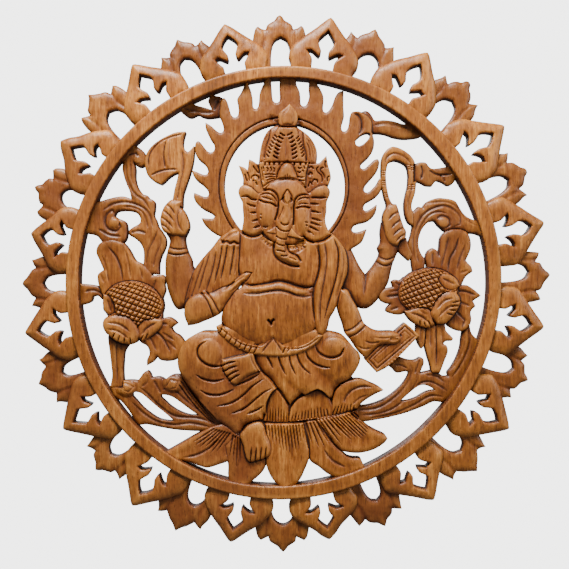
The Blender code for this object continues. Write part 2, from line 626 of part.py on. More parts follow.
def legs():
    seat = [
        (-31.0, -21.0), (-40.0, -23.6), (-48.5, -28.5), (-52.2, -38.0), (-50.5, -46.0), (-42.0, -57.0),
        (-30.5, -69.5), (-24.0, -74.8), (-17.0, -69.0), (-10.0, -65.0), (4.0, -61.0), (11.0, -53.6),
        (18.0, -51.6), (23.5, -55.6), (27.0, -49.0), (35.5, -42.2), (37.4, -36.0), (30.5, -27.0),
        (22.0, -23.4), (14.0, -27.0),
    ]
    form("cloth", seat, CLOTH, 1.6)
    dome("knee_left", (-39.0, -37.0), (12.8, 13.2), 0.97, lean=-20)
    dome("knee_right", (26.0, -37.5), (11.0, 12.2), 0.95)
    dome("shin_right", (6.0, -45.0), (15.0, 8.0), 0.94, lean=-28, sides=10)
    folds = [
        [(-43.0, -47.5), (-36.0, -50.0), (-27.0, -47.5)],
        [(-40.0, -54.5), (-33.0, -55.5), (-24.0, -51.5)],
        [(-34.0, -60.5), (-25.0, -58.6), (-16.0, -51.5)],
        [(-28.0, -65.0), (-19.0, -61.5), (-10.0, -54.5)],
        [(-19.0, -66.5), (-10.0, -61.5)],
    ]
    for number, fold in enumerate(folds):
        groove(f"cloth_fold_{number}", fold, CLOTH, 0.9)
    upper_foot = [
        (-30.5, -37.0), (-25.0, -35.6), (-15.0, -34.0), (-9.0, -42.0), (-14.0, -45.0), (-21.0, -48.6),
        (-24.5, -50.2), (-29.5, -45.0),
    ]
    form("foot_upper", upper_foot, UPPER_FOOT, 1.0)
    for number, rise in enumerate((-40.4, -43.0, -45.6)):
        shift = number * 1.2
        groove(f"toe_upper_{number}", [(-31.0 + shift, rise), (-24.0 + shift, rise + 2.2)], UPPER_FOOT, 0.4)
    lower_foot = [
        (-22.0, -75.0), (-20.0, -71.5), (-16.0, -67.0), (-9.0, -67.0), (-8.4, -74.0), (-6.7, -83.5),
        (-9.5, -86.4), (-17.0, -88.0), (-19.2, -84.0),
    ]
    form("foot_lower", lower_foot, LOWER_FOOT, 0.9)
    for number in range(4):
        side = -16.6 + 2.3 * number
        groove(f"toe_lower_{number}", [(side, -88.5), (side + 0.4, -81.0)], LOWER_FOOT, 0.35)


# Lotus seat and the foliage around it


def lotus():
    back_petals = [
        [(-12.0, -66.0), (-9.0, -60.0), (-4.0, -51.5), (0.5, -57.0), (4.0, -66.0)],
        [(2.0, -68.0), (5.0, -60.0), (10.0, -55.5), (17.0, -52.8), (22.0, -56.5), (25.0, -61.0),
         (24.0, -68.0)],
        [(23.5, -66.0), (24.0, -58.0), (26.0, -52.5), (33.0, -48.0), (40.0, -48.4), (49.0, -52.9),
         (42.0, -56.4), (37.0, -60.2), (34.0, -66.0)],
    ]
    for number, petal in enumerate(back_petals):
        form(f"petal_back_{number}", petal, BACK_PETAL + 0.03 * number, 0.0)
    waist = [
        (-30.0, -76.0), (-24.0, -64.0), (-10.0, -63.0), (10.0, -64.0), (25.0, -62.0), (36.0, -61.5),
        (38.0, -70.0), (25.0, -80.0), (10.0, -84.0), (-12.0, -84.0),
    ]
    form("lotus_waist", waist, LOTUS_WAIST, 0.0)
    front_petals = [
        ([(-24.0, -66.0), (-40.0, -73.0), (-50.0, -78.5), (-59.0, -83.5), (-50.0, -89.5), (-38.0, -92.5),
          (-28.0, -88.0), (-22.0, -80.0)], SIDE_PETAL),
        ([(-29.0, -82.0), (-28.0, -92.0), (-26.0, -99.0), (-18.0, -100.0), (-9.0, -91.0), (-8.0, -80.0),
          (-18.0, -74.0)], SIDE_PETAL + 0.05),
        ([(16.0, -66.0), (22.0, -76.0), (28.0, -82.6), (37.0, -83.6), (46.0, -81.0), (50.8, -76.5),
          (42.0, -71.0), (32.0, -63.5)], SIDE_PETAL + 0.04),
        ([(10.0, -68.0), (12.0, -78.0), (12.4, -88.0), (24.0, -97.0), (41.0, -92.0), (37.5, -86.2),
          (31.0, -85.4), (24.0, -79.0), (16.0, -67.5)], SIDE_PETAL),
        ([(-9.0, -69.5), (-9.5, -86.0), (-5.0, -97.0), (1.0, -101.0), (8.0, -97.0), (12.2, -86.0),
          (11.0, -78.0), (9.5, -68.0)], FRONT_PETAL),
    ]
    for number, (petal, share) in enumerate(front_petals):
        form(f"petal_front_{number}", petal, share, 1.3)
    ribs = [
        ([(-45.0, -84.5), (-36.0, -80.0), (-29.0, -73.0)], SIDE_PETAL),
        ([(1.2, -90.0), (0.6, -72.0)], FRONT_PETAL),
        ([(30.5, -61.5), (34.0, -55.5), (40.0, -52.5)], BACK_PETAL + 0.06),
        ([(24.0, -68.0), (34.0, -74.0), (42.0, -76.5)], SIDE_PETAL + 0.04),
    ]
    for number, (rib, share) in enumerate(ribs):
        groove(f"petal_rib_{number}", rib, share, 0.6)
    for side in (-5.0, 5.4):
        groove(f"flute_{side:.0f}", [(side, -69.5), (side * 0.9, -75.5)], FRONT_PETAL, 0.4)


def stems():
    left = [
        (-26.0, -66.0), (-38.0, -61.0), (-45.0, -53.5), (-49.0, -46.0), (-53.0, -45.2), (-58.6, -47.8),
        (-62.0, -46.4), (-65.0, -47.0), (-67.5, -43.4), (-71.5, -47.6), (-76.0, -47.4), (-81.0, -48.5),
        (-87.0, -52.0), (-86.0, -58.0), (-80.0, -64.0), (-74.0, -71.0), (-68.0, -70.0), (-50.0, -73.2),
        (-38.0, -73.0), (-28.0, -72.0),
    ]
    gap_upper = [
        (-60.5, -55.4), (-56.0, -56.0), (-50.0, -60.0), (-42.8, -65.4), (-48.0, -65.2), (-56.0, -61.2),
    ]
    gap_lower = [
        (-74.6, -54.4), (-70.5, -54.7), (-63.0, -61.0), (-54.7, -68.1), (-62.0, -67.2), (-69.0, -62.6),
        (-74.0, -57.0),
    ]
    form("stems_left", left, STEM, 0.0, holes=[gap_upper, gap_lower])
    dome("curl_left", (-77.5, -52.0), (6.0, 4.6), 0.60, sides=10)
    dome("curl_left_inner", (-54.5, -50.0), (6.2, 4.8), 0.60, sides=10)
    groove("stem_left_rib", [(-40.0, -68.2), (-54.0, -65.5), (-64.0, -58.0), (-70.5, -51.5)], STEM, 0.5)
    right = [
        (32.0, -62.0), (37.0, -60.9), (46.0, -59.0), (55.0, -53.5), (61.0, -46.0), (60.5, -43.9),
        (54.0, -44.0), (51.0, -40.5), (56.0, -36.5), (62.5, -38.3), (67.0, -36.9), (69.0, -39.0),
        (67.4, -44.0), (73.0, -42.5), (80.0, -45.0), (81.0, -42.0), (86.0, -34.0), (88.0, -24.0),
        (91.0, -20.0), (94.0, -29.0), (95.0, -34.0), (88.0, -48.0), (80.0, -59.0), (74.0, -58.8),
        (60.0, -64.4), (46.0, -67.8), (34.0, -69.0),
    ]
    gap = [(57.3, -58.6), (63.0, -53.4), (68.5, -50.7), (73.5, -52.6), (66.0, -56.0)]
    form("stems_right", right, STEM, 0.0, holes=[gap])
    groove("stem_right_rib", [(36.0, -64.5), (50.0, -62.0), (62.0, -54.0), (64.5, -44.0)], STEM, 0.5)
    groove("stem_right_rib_low", [(42.0, -66.5), (60.0, -61.5), (76.0, -56.5)], STEM, 0.5)


def net_dome(name, centre, radii, share, rows):
    """A seed head: a dome with rows of raised lozenges."""
    dome(name, centre, radii, share, sides=10)
    for row in range(rows):
        across = rows - 1 - abs(row - (rows - 1) // 2) % 2
        rise = (row - (rows - 1) / 2) / (rows / 2) * 0.72
        reach = math.sqrt(1 - rise * rise) * 0.80
        for column in range(across):
            shift = (column - (across - 1) / 2) / (across / 2) * reach
            depth = math.sqrt(max(0.05, 1 - rise * rise - shift * shift))
            lozenge(
                f"{name}_seed_{row}_{column}",
                (centre[0] + shift * radii[0], centre[1] + rise * radii[1]),
                (0.13 * radii[0], 0.14 * radii[1]),
                share * depth + 0.045,
            )


def lozenge(name, centre, radii, share):
    """A four-sided raised seed, its foot sunk in the dome."""
    made = bmesh.new()
    foot = 0.22 * RELIEF_HEIGHT
    bmesh.ops.create_cone(made, cap_ends=True, segments=4, radius1=1.9, radius2=0.25, depth=foot)
    size = Matrix.Diagonal((radii[0] * UNIT, radii[1] * UNIT, 1, 1))
    bmesh.ops.transform(made, matrix=size, verts=made.verts)
    mesh = bpy.data.meshes.new(name)
    made.to_mesh(mesh)
    made.free()
    obj = bpy.data.objects.new(name, mesh)
    form_collection.objects.link(obj)
    place = Matrix.Translation((centre[0] * UNIT, foot / 2 - share * RELIEF_HEIGHT, centre[1] * UNIT))
    obj.matrix_world = place @ Matrix.Rotation(math.pi / 2, 4, "X")
    hide_helper(obj)


def flower_left():
    petals = [
        ([(-92.0, 4.0), (-88.8, 6.5), (-92.4, 14.0), (-89.0, 20.4), (-83.0, 21.6), (-79.0, 19.5),
          (-73.5, 11.0), (-68.5, 8.6), (-65.5, 5.0), (-60.0, 4.5), (-58.4, -3.0), (-62.0, -12.0),
          (-88.0, -8.0)], FOLIAGE),
        ([(-60.0, -16.0), (-54.0, -18.0), (-52.4, -20.0), (-55.3, -22.4), (-51.0, -26.5), (-49.0, -30.0),
          (-52.0, -37.6), (-61.0, -38.2), (-64.5, -39.0), (-68.2, -41.0), (-66.6, -34.0), (-72.0, -28.0),
          (-72.0, -22.0)], FOLIAGE * 1.02),
        ([(-103.0, 0.5), (-94.0, -0.8), (-87.0, -4.0), (-87.0, -10.0), (-91.5, -6.6), (-95.5, -9.6),
          (-103.0, -9.5)], FOLIAGE * 0.8),
        ([(-90.0, -6.0), (-85.0, -5.0), (-80.0, -14.0), (-88.7, -13.4)], FOLIAGE * 1.1),
        ([(-87.2, -24.0), (-86.3, -33.0), (-85.4, -44.0), (-87.5, -54.0), (-78.0, -52.0), (-79.3, -42.0),
          (-78.3, -35.0), (-76.0, -27.0)], STEM * 0.97),
    ]
    for number, (petal, share) in enumerate(petals):
        form(f"flower_left_leaf_{number}", petal, share, 0.0)
    net_dome("flower_left", (-74.2, -11.0), (15.2, 12.6), SEED_HEAD, 3)
    dome("flower_left_petal", (-79.8, -23.2), (9.4, 7.4), 0.88, lean=-25, sides=10)
    dome("flower_left_petal_small", (-66.0, -23.5), (6.8, 5.2), 0.78, lean=-15, sides=10)
    groove("leaf_left_vein", [(-86.0, 15.5), (-82.5, 12.0), (-80.0, 7.0)], FOLIAGE, 0.5)
    groove("leaf_left_vein_low", [(-65.0, -25.0), (-59.0, -28.5), (-56.0, -34.0)], FOLIAGE * 1.02, 0.5)


def flower_right():
    petals = [
        ([(69.6, 8.0), (69.8, 14.0), (72.5, 17.2), (75.8, 15.8), (77.4, 23.4), (82.0, 26.2),
          (88.0, 26.0), (91.8, 19.0), (89.4, 11.2), (92.6, 6.0), (89.0, 2.0), (86.0, -6.0),
          (70.0, -4.0)], FOLIAGE),
        ([(84.0, 0.0), (90.0, -1.2), (97.0, -6.3), (93.0, -9.0), (94.2, -11.5), (92.0, -15.0),
          (92.2, -19.5), (90.0, -24.0), (82.0, -23.0), (78.0, -12.0)], FOLIAGE * 0.95),
        ([(58.5, 2.0), (52.8, 1.0), (53.4, -2.0), (47.2, -6.0), (47.6, -9.0), (51.8, -10.8),
          (50.2, -14.0), (58.0, -15.5), (64.0, -10.0), (62.0, 0.0)], FOLIAGE * 0.93),
        ([(66.0, -18.0), (70.0, -30.0), (71.0, -38.0), (73.0, -45.0), (76.5, -45.0), (80.6, -33.5),
          (78.8, -30.0), (83.4, -28.0), (80.5, -22.0), (78.0, -16.0)], FOLIAGE * 1.03),
        ([(62.0, -16.0), (64.5, -26.0), (67.4, -33.0), (70.5, -30.0), (70.0, -16.0)], FOLIAGE * 0.9),
    ]
    for number, (petal, share) in enumerate(petals):
        form(f"flower_right_leaf_{number}", petal, share, 0.0)
    net_dome("flower_right", (70.8, -4.0), (15.4, 12.2), SEED_HEAD, 3)
    dome("flower_right_petal", (79.0, -12.0), (8.0, 7.8), 0.88, lean=20, sides=10)
    dome("flower_right_petal_small", (66.6, -17.0), (7.6, 5.0), 0.80, lean=-20, sides=10)
    groove("leaf_right_vein", [(85.0, 19.5), (82.0, 15.0), (80.8, 9.5)], FOLIAGE, 0.5)
    groove("leaf_right_vein_low", [(74.5, -24.0), (75.2, -38.0)], FOLIAGE * 1.03, 0.5)


def carve():
    halo()
    sprigs()
    scrolls()
    axe()
    noose()
    book()
    rear_arms()
    shawl()
    front_arms()
    body()
    head()
    legs()
    lotus()
    stems()
    flower_left()
    flower_right()


def wood():
    """Oiled, warm brown hardwood."""
    material = bpy.data.materials.new("carved_wood")
    material.use_nodes = True
    shader = material.node_tree.nodes["Principled BSDF"]
    shader.inputs["Base Color"].default_value = (0.30, 0.115, 0.035, 1)
    shader.inputs["Roughness"].default_value = 0.48
    shader.inputs["Metallic"].default_value = 0.0
    return material


def planing_block():
    """The block that planes the back flat."""
    reach = 3 * RING_OUTER_RADIUS + 3 * BORDER_WIDTH
    bpy.ops.mesh.primitive_cube_add(size=1, location=(0, reach / 4, 0))
    block = bpy.context.object
    block.name = "back_plane"
    block.scale = (reach, reach / 2, reach)
    for home in list(block.users_collection):
        home.objects.unlink(block)
    groove_collection.objects.link(block)
    hide_helper(block)


def boolean(obj, operation, others):
    cut = obj.modifiers.new(operation.lower(), "BOOLEAN")
    cut.operation = operation
    cut.solver = "EXACT"
    cut.operand_type = "COLLECTION"
    cut.collection = others


def panel():
    """Joins the forms, cuts the grooves, planes the back and drops the edges inside flat faces."""
    ring_form = bpy.data.objects["ring"]
    form_collection.objects.unlink(ring_form)
    panel_collection.objects.link(ring_form)
    ring_form.name = PANEL_NAME
    ring_form.data.name = PANEL_NAME
    ring_form.hide_render = False
    ring_form.display_type = "TEXTURED"
    ring_form.data.materials.append(wood())
    boolean(ring_form, "UNION", form_collection)
    boolean(ring_form, "DIFFERENCE", groove_collection)
    flat = ring_form.modifiers.new("flat_faces", "DECIMATE")
    flat.decimate_type = "DISSOLVE"
    flat.angle_limit = math.radians(DISSOLVED_BEND)
    return ring_form


ring()
border()
carve()
planing_block()
panel()
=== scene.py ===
"""Round carved wooden wall panel: Ganesha seated on a lotus, in a pierced ring with a leafy border.

The panel is one plank. It hangs upright with its flat back on the plane y = 0 and its carving
towards -Y. The drawing is in hundredths of the ring's inner radius, heights are in millimetres.
"""

import math

import bpy
import numpy as np
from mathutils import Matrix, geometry


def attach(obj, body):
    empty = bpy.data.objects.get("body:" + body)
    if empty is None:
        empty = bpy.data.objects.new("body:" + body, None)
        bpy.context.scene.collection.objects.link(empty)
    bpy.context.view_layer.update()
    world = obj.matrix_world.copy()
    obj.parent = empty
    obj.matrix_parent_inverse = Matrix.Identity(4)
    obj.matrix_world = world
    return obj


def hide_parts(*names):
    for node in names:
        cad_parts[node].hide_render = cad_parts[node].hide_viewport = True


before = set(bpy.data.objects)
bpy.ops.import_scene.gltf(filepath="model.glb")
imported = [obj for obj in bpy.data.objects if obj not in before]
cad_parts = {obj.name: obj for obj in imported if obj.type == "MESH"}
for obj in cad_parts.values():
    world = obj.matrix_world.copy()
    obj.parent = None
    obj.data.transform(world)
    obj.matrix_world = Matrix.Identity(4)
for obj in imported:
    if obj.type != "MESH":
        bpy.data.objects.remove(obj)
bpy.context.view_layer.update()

# The ring: a plain flat-topped hoop left standing when the ground was sawn away.
# It is the same plank as the rest, cut with a gouge, so its edges are soft and not quite round.

UNIT = 0.230 / 100
MILLIMETRE = 0.001
RING_HEIGHT = 23.8
RING_CELL = 0.40
CARVING_TOP = 24.0
NODE = "carved_panel"
SLOT = "carved_wood"


def curve(points, closed=True, sharp=58, spacing=0.8):
    """A smooth line through the given points. It keeps a corner where it turns sharply."""
    points = np.array(points, float)
    count = len(points)
    steps = np.roll(points, -1, 0) - points
    lengths = np.hypot(steps[:, 0], steps[:, 1]) + 1e-9
    headings = np.arctan2(steps[:, 1], steps[:, 0])
    turns = np.abs((headings - np.roll(headings, 1) + np.pi) % (2 * np.pi) - np.pi)
    corner = turns > math.radians(sharp)
    if not closed:
        corner[0] = corner[-1] = True
    through = np.roll(points, -1, 0) - np.roll(points, 1, 0)
    through /= np.hypot(through[:, 0], through[:, 1])[:, None] + 1e-9
    line = []
    for i in range(count if closed else count - 1):
        j = (i + 1) % count
        leave = steps[i] if corner[i] else through[i] * lengths[i]
        arrive = steps[i] if corner[j] else through[j] * lengths[i]
        pieces = max(1, int(round(lengths[i] / spacing)))
        for t in np.arange(pieces) / pieces:
            bend = t * t * (3 - 2 * t)
            line.append(
                points[i] * (1 - bend)
                + points[j] * bend
                + leave * t * (1 - t) ** 2
                - arrive * t * t * (1 - t)
            )
    if not closed:
        line.append(points[-1])
    return np.array(line)


def ellipse(centre, radii, turn=0.0, count=48):
    """Points round an ellipse, turned by an angle in degrees."""
    swing = np.radians(np.linspace(0, 360, count + 1))[:-1]
    across = radii[0] * np.cos(swing)
    up = radii[1] * np.sin(swing)
    lean = math.radians(turn)
    return np.stack(
        [
            centre[0] + across * math.cos(lean) - up * math.sin(lean),
            centre[1] + across * math.sin(lean) + up * math.cos(lean),
        ],
        1,
    )


def measure(line, x, z, closed):
    """Each place's distance from a line, how far along it is, and whether the line goes round it."""
    ends = np.roll(line, -1, 0) if closed else line[1:]
    near = np.full(x.shape, np.inf)
    along = np.zeros(x.shape)
    inside = np.zeros(x.shape, bool)
    walked = 0.0
    for (ax, az), (bx, bz) in zip(line, ends):
        dx = bx - ax
        dz = bz - az
        square = dx * dx + dz * dz + 1e-12
        t = np.clip(((x - ax) * dx + (z - az) * dz) / square, 0, 1)
        gap = (x - ax - t * dx) ** 2 + (z - az - t * dz) ** 2
        nearer = gap < near
        near = np.where(nearer, gap, near)
        along = np.where(nearer, walked + t * math.sqrt(square), along)
        walked += math.sqrt(square)
        if closed and az != bz:
            inside ^= ((az > z) != (bz > z)) & (x < dx * (z - az) / dz + ax)
    return np.sqrt(near), along / walked, inside


def ease(share):
    """A share from 0 to 1 that starts and ends gently."""
    share = np.clip(share, 0, 1)
    return share * share * (3 - 2 * share)


def blurred(field, reach):
    """The field averaged over a square of cells, twice over, which is close to a soft blur."""
    for _ in range(2):
        for axis in (0, 1):
            padded = np.concatenate(
                [
                    np.repeat(field.take([0], axis), reach + 1, axis),
                    field,
                    np.repeat(field.take([-1], axis), reach, axis),
                ],
                axis,
            )
            total = np.cumsum(padded, axis)
            size = field.shape[axis]
            width = 2 * reach + 1
            field = (
                total.take(range(width, width + size), axis) - total.take(range(size), axis)
            ) / width
    return field


def turned(triangles, marked):
    """The triangles with their corners turned round until the marked one comes first."""
    return np.take_along_axis(triangles, (marked.argmax(1)[:, None] + np.arange(3)) % 3, 1)


class Relief:
    """A part of the plank as a grid of heights. Forms are cut one over the other, lowest first."""

    FEATHER = 0.42
    NEAR = 0.55
    WIDE = 2.4

    def __init__(self, low, high, cell):
        """low and high are opposite corners of the grid, and cell is its step."""
        self.cell = cell
        self.x = np.arange(low[0], high[0], cell)
        self.z = np.arange(low[1], high[1], cell)
        self.height = np.zeros((len(self.z), len(self.x)))
        self.inside = np.full(self.height.shape, -9.0)

    def window(self, line, margin):
        """The part of the grid that a line needs, and the places of its points."""
        low = line.min(0) - margin
        high = line.max(0) + margin
        columns = slice(*np.searchsorted(self.x, (low[0], high[0])))
        rows = slice(*np.searchsorted(self.z, (low[1], high[1])))
        x, z = np.meshgrid(self.x[columns], self.z[rows])
        return (rows, columns), x, z

    def form(self, line, top, roll=1.2, width=0.9, dish=0.0, lean=(0, 0), sharp=58):
        """A form with a rounded edge. dish sinks its middle and lean tips it, both in millimetres."""
        line = curve(line, sharp=sharp)
        part, x, z = self.window(line, 1.5)
        if not x.size:
            return
        gap, _, within = measure(line, x, z, True)
        depth = np.where(within, gap, -gap)
        edge = 1 - np.clip(depth / width, 0, 1)
        middle = line.mean(0)
        surface = top - roll * (1 - np.sqrt(1 - edge * edge))
        surface -= dish * ease(depth / (2.5 * width))
        surface += lean[0] * (x - middle[0]) + lean[1] * (z - middle[1])
        old = self.height[part]
        bare = self.inside[part] <= 0
        step = ease(depth / self.FEATHER)
        over = np.where(bare, surface, old + (surface - old) * step)
        beside = bare & (depth > self.inside[part])
        self.height[part] = np.where(within, over, np.where(beside, surface, old))
        self.inside[part] = np.maximum(self.inside[part], depth)

    def dome(self, centre, radii, top, base, turn=0.0, power=0.5, blend=0.8):
        """A swelling that rises out of what is already there."""
        line = ellipse(centre, radii, turn)
        part, x, z = self.window(line, 0)
        lean = math.radians(turn)
        dx = x - centre[0]
        dz = z - centre[1]
        across = (dx * math.cos(lean) + dz * math.sin(lean)) / radii[0]
        up = (dz * math.cos(lean) - dx * math.sin(lean)) / radii[1]
        rise = np.clip(1 - across**2 - up**2, 0, 1)
        surface = base + (top - base) * rise**power
        old = self.height[part]
        mixed = np.logaddexp(old / blend, surface / blend) * blend
        self.height[part] = np.where(rise > 0, old + (mixed - old) * ease(rise * 6), old)

    def groove(self, line, depth=1.2, width=0.8, ends=(0.0, 0.0), closed=False, sharp=58):
        """A cut along a line, or a ridge if depth is less than 0. It thins out over its ends' shares."""
        line = curve(line, closed, sharp=sharp)
        part, x, z = self.window(line, width)
        if not x.size:
            return
        gap, along, _ = measure(line, x, z, closed)
        taper = np.ones(x.shape)
        if ends[0]:
            taper = np.minimum(taper, along / ends[0])
        if ends[1]:
            taper = np.minimum(taper, (1 - along) / ends[1])
        taper = np.sqrt(np.clip(taper, 0.02, 1))
        shape = np.clip(1 - gap / (width * taper), 0, 1)
        if depth < 0:
            shape = shape * (2 - shape)
        self.height[part] -= depth * taper * shape * np.where(self.inside[part] > -1, 1, 0)

    def pierce(self, line, roll=0.9, width=0.6, sharp=58):
        """Saws right through, and eases the edge of the hole."""
        line = curve(line, sharp=sharp)
        part, x, z = self.window(line, 1.5)
        gap, _, within = measure(line, x, z, True)
        outside = np.where(within, -gap, gap)
        edge = 1 - np.clip(outside / width, 0, 1)
        self.height[part] -= roll * (1 - np.sqrt(1 - edge * edge))
        self.inside[part] = np.minimum(self.inside[part], outside)

    def worked(self, amount, size, seed):
        """The slight unevenness that the gouge leaves, as waves that cross each other."""
        waves = 14
        draw = np.random.default_rng(seed)
        x, z = np.meshgrid(self.x, self.z)
        for _ in range(waves):
            angle = draw.uniform(0, math.pi)
            rate = draw.uniform(0.6, 1.8) / size
            shift = draw.uniform(0, 2 * math.pi)
            wave = np.sin((x * math.cos(angle) + z * math.sin(angle)) * rate + shift)
            self.height += amount / waves**0.5 * wave

    def front(self):
        """The front's corners with their tones, its triangles where the wood is, and its rim."""
        least = 0.12 * self.cell
        inside = np.where(self.inside > 0, np.maximum(self.inside, least), np.minimum(self.inside, -least))
        wood = inside > 0
        ways = ((0, 1), (0, -1), (1, 0), (-1, 0))
        beside = sum(np.roll(wood, way, (0, 1)).astype(int) for way in ways)
        inside[wood & (beside == 0)] = -least
        rows, columns = inside.shape
        number = np.arange(rows * columns).reshape(rows, columns)
        low_left = number[:-1, :-1]
        low_right = number[:-1, 1:]
        high_right = number[1:, 1:]
        high_left = number[1:, :-1]
        even = (np.add.outer(np.arange(rows - 1), np.arange(columns - 1)) % 2 == 0)[..., None]
        halves = [
            np.where(even, np.stack(rising, -1), np.stack(falling, -1)).reshape(-1, 3)
            for rising, falling in (
                ([low_left, low_right, high_right], [low_left, low_right, high_left]),
                ([low_left, high_right, high_left], [low_right, high_right, high_left]),
            )
        ]

        # A triangle whose corners are all in the wood stays whole. The others are cut at the rim.
        triangles = np.concatenate(halves)
        depth = inside.ravel()
        held = depth[triangles] > 0
        count = held.sum(1)
        whole = triangles[count == 3]
        lone = turned(triangles[count == 1], held[count == 1])
        pair = turned(triangles[count == 2], ~held[count == 2])
        crossings = np.concatenate([lone[:, [0, 1]], lone[:, [0, 2]], pair[:, [1, 0]], pair[:, [2, 0]]])
        keys = np.minimum(*crossings.T) * depth.size + np.maximum(*crossings.T)
        _, pick, back = np.unique(keys, return_index=True, return_inverse=True)
        wood_end, air_end = crossings[pick].T
        share = depth[wood_end] / (depth[wood_end] - depth[air_end])

        # The tone of a place is how far it lies below its near and its wider surroundings. The wood's shader
        # paints shade and highlight from it.
        x, z = np.meshgrid(self.x, self.z)
        low = blurred(self.height, max(1, round(self.NEAR / self.cell))) - self.height
        broad = blurred(self.height, max(2, round(self.WIDE / self.cell))) - self.height
        grid = np.stack([x.ravel(), self.height.ravel(), z.ravel(), low.ravel(), broad.ravel()], 1)
        used = np.union1d(whole, np.concatenate([lone[:, 0], pair[:, 1], pair[:, 2]]))
        place = np.full(depth.size, -1)
        place[used] = np.arange(len(used))
        edge = grid[wood_end] + (grid[air_end] - grid[wood_end]) * share[:, None]
        corners = np.concatenate([grid[used], edge])
        parts = np.cumsum([len(lone), len(lone), len(pair)])
        first, second, third, fourth = np.split(len(used) + back.ravel(), parts)
        faces = np.concatenate(
            [
                place[whole],
                np.stack([place[lone[:, 0]], first, second], 1),
                np.stack([place[pair[:, 1]], place[pair[:, 2]], fourth], 1),
                np.stack([place[pair[:, 1]], fourth, third], 1),
            ]
        )
        rim = np.concatenate([np.stack([first, second], 1), np.stack([fourth, third], 1)])
        return corners, faces, rim


def within(caps, rim):
    """The triangles of a flat cap that lie to the left of its rim, found by spreading from the rim."""
    rim = set(map(tuple, rim.tolist()))
    beside = {edge: number for number, cap in enumerate(caps) for edge in zip(cap, cap[1:] + cap[:1])}
    found = {beside[edge] for edge in rim}
    front = list(found)
    while front:
        cap = caps[front.pop()]
        for start, end in zip(cap, cap[1:] + cap[:1]):
            other = beside.get((end, start))
            if (start, end) not in rim and other is not None and other not in found:
                found.add(other)
                front.append(other)
    return np.array([caps[number] for number in sorted(found)])


def solid(relief, name, back):
    """The grid as a closed solid: carved front, sawn sides and flat back. back is in millimetres."""
    corners, faces, rim = relief.front()
    edge, where = np.unique(rim, return_inverse=True)
    where = where.reshape(rim.shape)
    behind = corners[edge].copy()
    behind[:, 1] = back
    behind[:, 3:] = 0
    start = len(corners)
    sides = np.concatenate(
        [
            np.stack([rim[:, 1], rim[:, 0], start + where[:, 0]], 1),
            np.stack([rim[:, 1], start + where[:, 0], start + where[:, 1]], 1),
        ]
    )
    flat = [(float(x), float(z)) for x, z in behind[:, [0, 2]]]
    _, _, caps, *_ = geometry.delaunay_2d_cdt(flat, [tuple(map(int, pair)) for pair in where], [], 0, 1e-9)
    caps = within(caps, where)
    points = np.concatenate([corners, behind])
    triangles = np.concatenate([faces, sides, start + caps[:, ::-1]])
    placed = np.stack([points[:, 0] * UNIT, -points[:, 1] * MILLIMETRE, points[:, 2] * UNIT], 1)
    mesh = bpy.data.meshes.new(name)
    mesh.vertices.add(len(placed))
    mesh.vertices.foreach_set("co", placed.ravel())
    mesh.loops.add(3 * len(triangles))
    mesh.loops.foreach_set("vertex_index", triangles.ravel())
    mesh.polygons.add(len(triangles))
    mesh.polygons.foreach_set("loop_start", 3 * np.arange(len(triangles)))
    mesh.update(calc_edges=True)
    mesh.polygons.foreach_set("use_smooth", np.ones(len(triangles), bool))
    # Each corner keeps its tone, from which the wood's shader paints shade in cuts and hollows and a
    # highlight on raised places.
    tone = mesh.attributes.new("tone", "FLOAT_VECTOR", "POINT")
    tone.data.foreach_set("vector", np.stack([points[:, 3], points[:, 4], points[:, 1]], 1).ravel())
    mesh.set_sharp_from_angle(angle=math.radians(62))
    piece = bpy.data.objects.new(name, mesh)
    bpy.context.scene.collection.objects.link(piece)
    return piece


class Shade:
    """A socket of the wood's shader. Sums on it add the Math nodes that work them out."""

    def __init__(self, tree, socket=None):
        self.tree = tree
        self.socket = socket

    def node(self, kind, settings=None, sockets=None, output=0):
        """Any node of the tree, with its settings and what goes into its sockets."""
        made = self.tree.nodes.new(kind)
        for name, value in (settings or {}).items():
            if name == "stops":
                ramp = made.color_ramp
                while len(ramp.elements) < len(value):
                    ramp.elements.new(1.0)
                for element, (place, colour) in zip(ramp.elements, value):
                    element.position = place
                    element.color = (*colour, 1)
            else:
                setattr(made, name, value)
        for name, value in (sockets or {}).items():
            if isinstance(value, Shade):
                self.tree.links.new(value.socket, made.inputs[name])
            else:
                made.inputs[name].default_value = value
        return Shade(self.tree, made.outputs[output])

    def sum(self, operation, *values):
        """A Math node."""
        return self.node("ShaderNodeMath", {"operation": operation}, dict(enumerate(values)))

    def __add__(self, other):
        return self.sum("ADD", self, other)

    def __sub__(self, other):
        return self.sum("SUBTRACT", self, other)

    def __mul__(self, other):
        return self.sum("MULTIPLY", self, other)

    def __rsub__(self, other):
        return self.sum("SUBTRACT", other, self)

    __radd__ = __add__
    __rmul__ = __mul__

    def between(self, low, high):
        """0 at low and 1 at high, with a gentle start and end."""
        return self.node(
            "ShaderNodeMapRange",
            {"interpolation_type": "SMOOTHSTEP"},
            {"Value": self, "From Min": low, "From Max": high},
        )


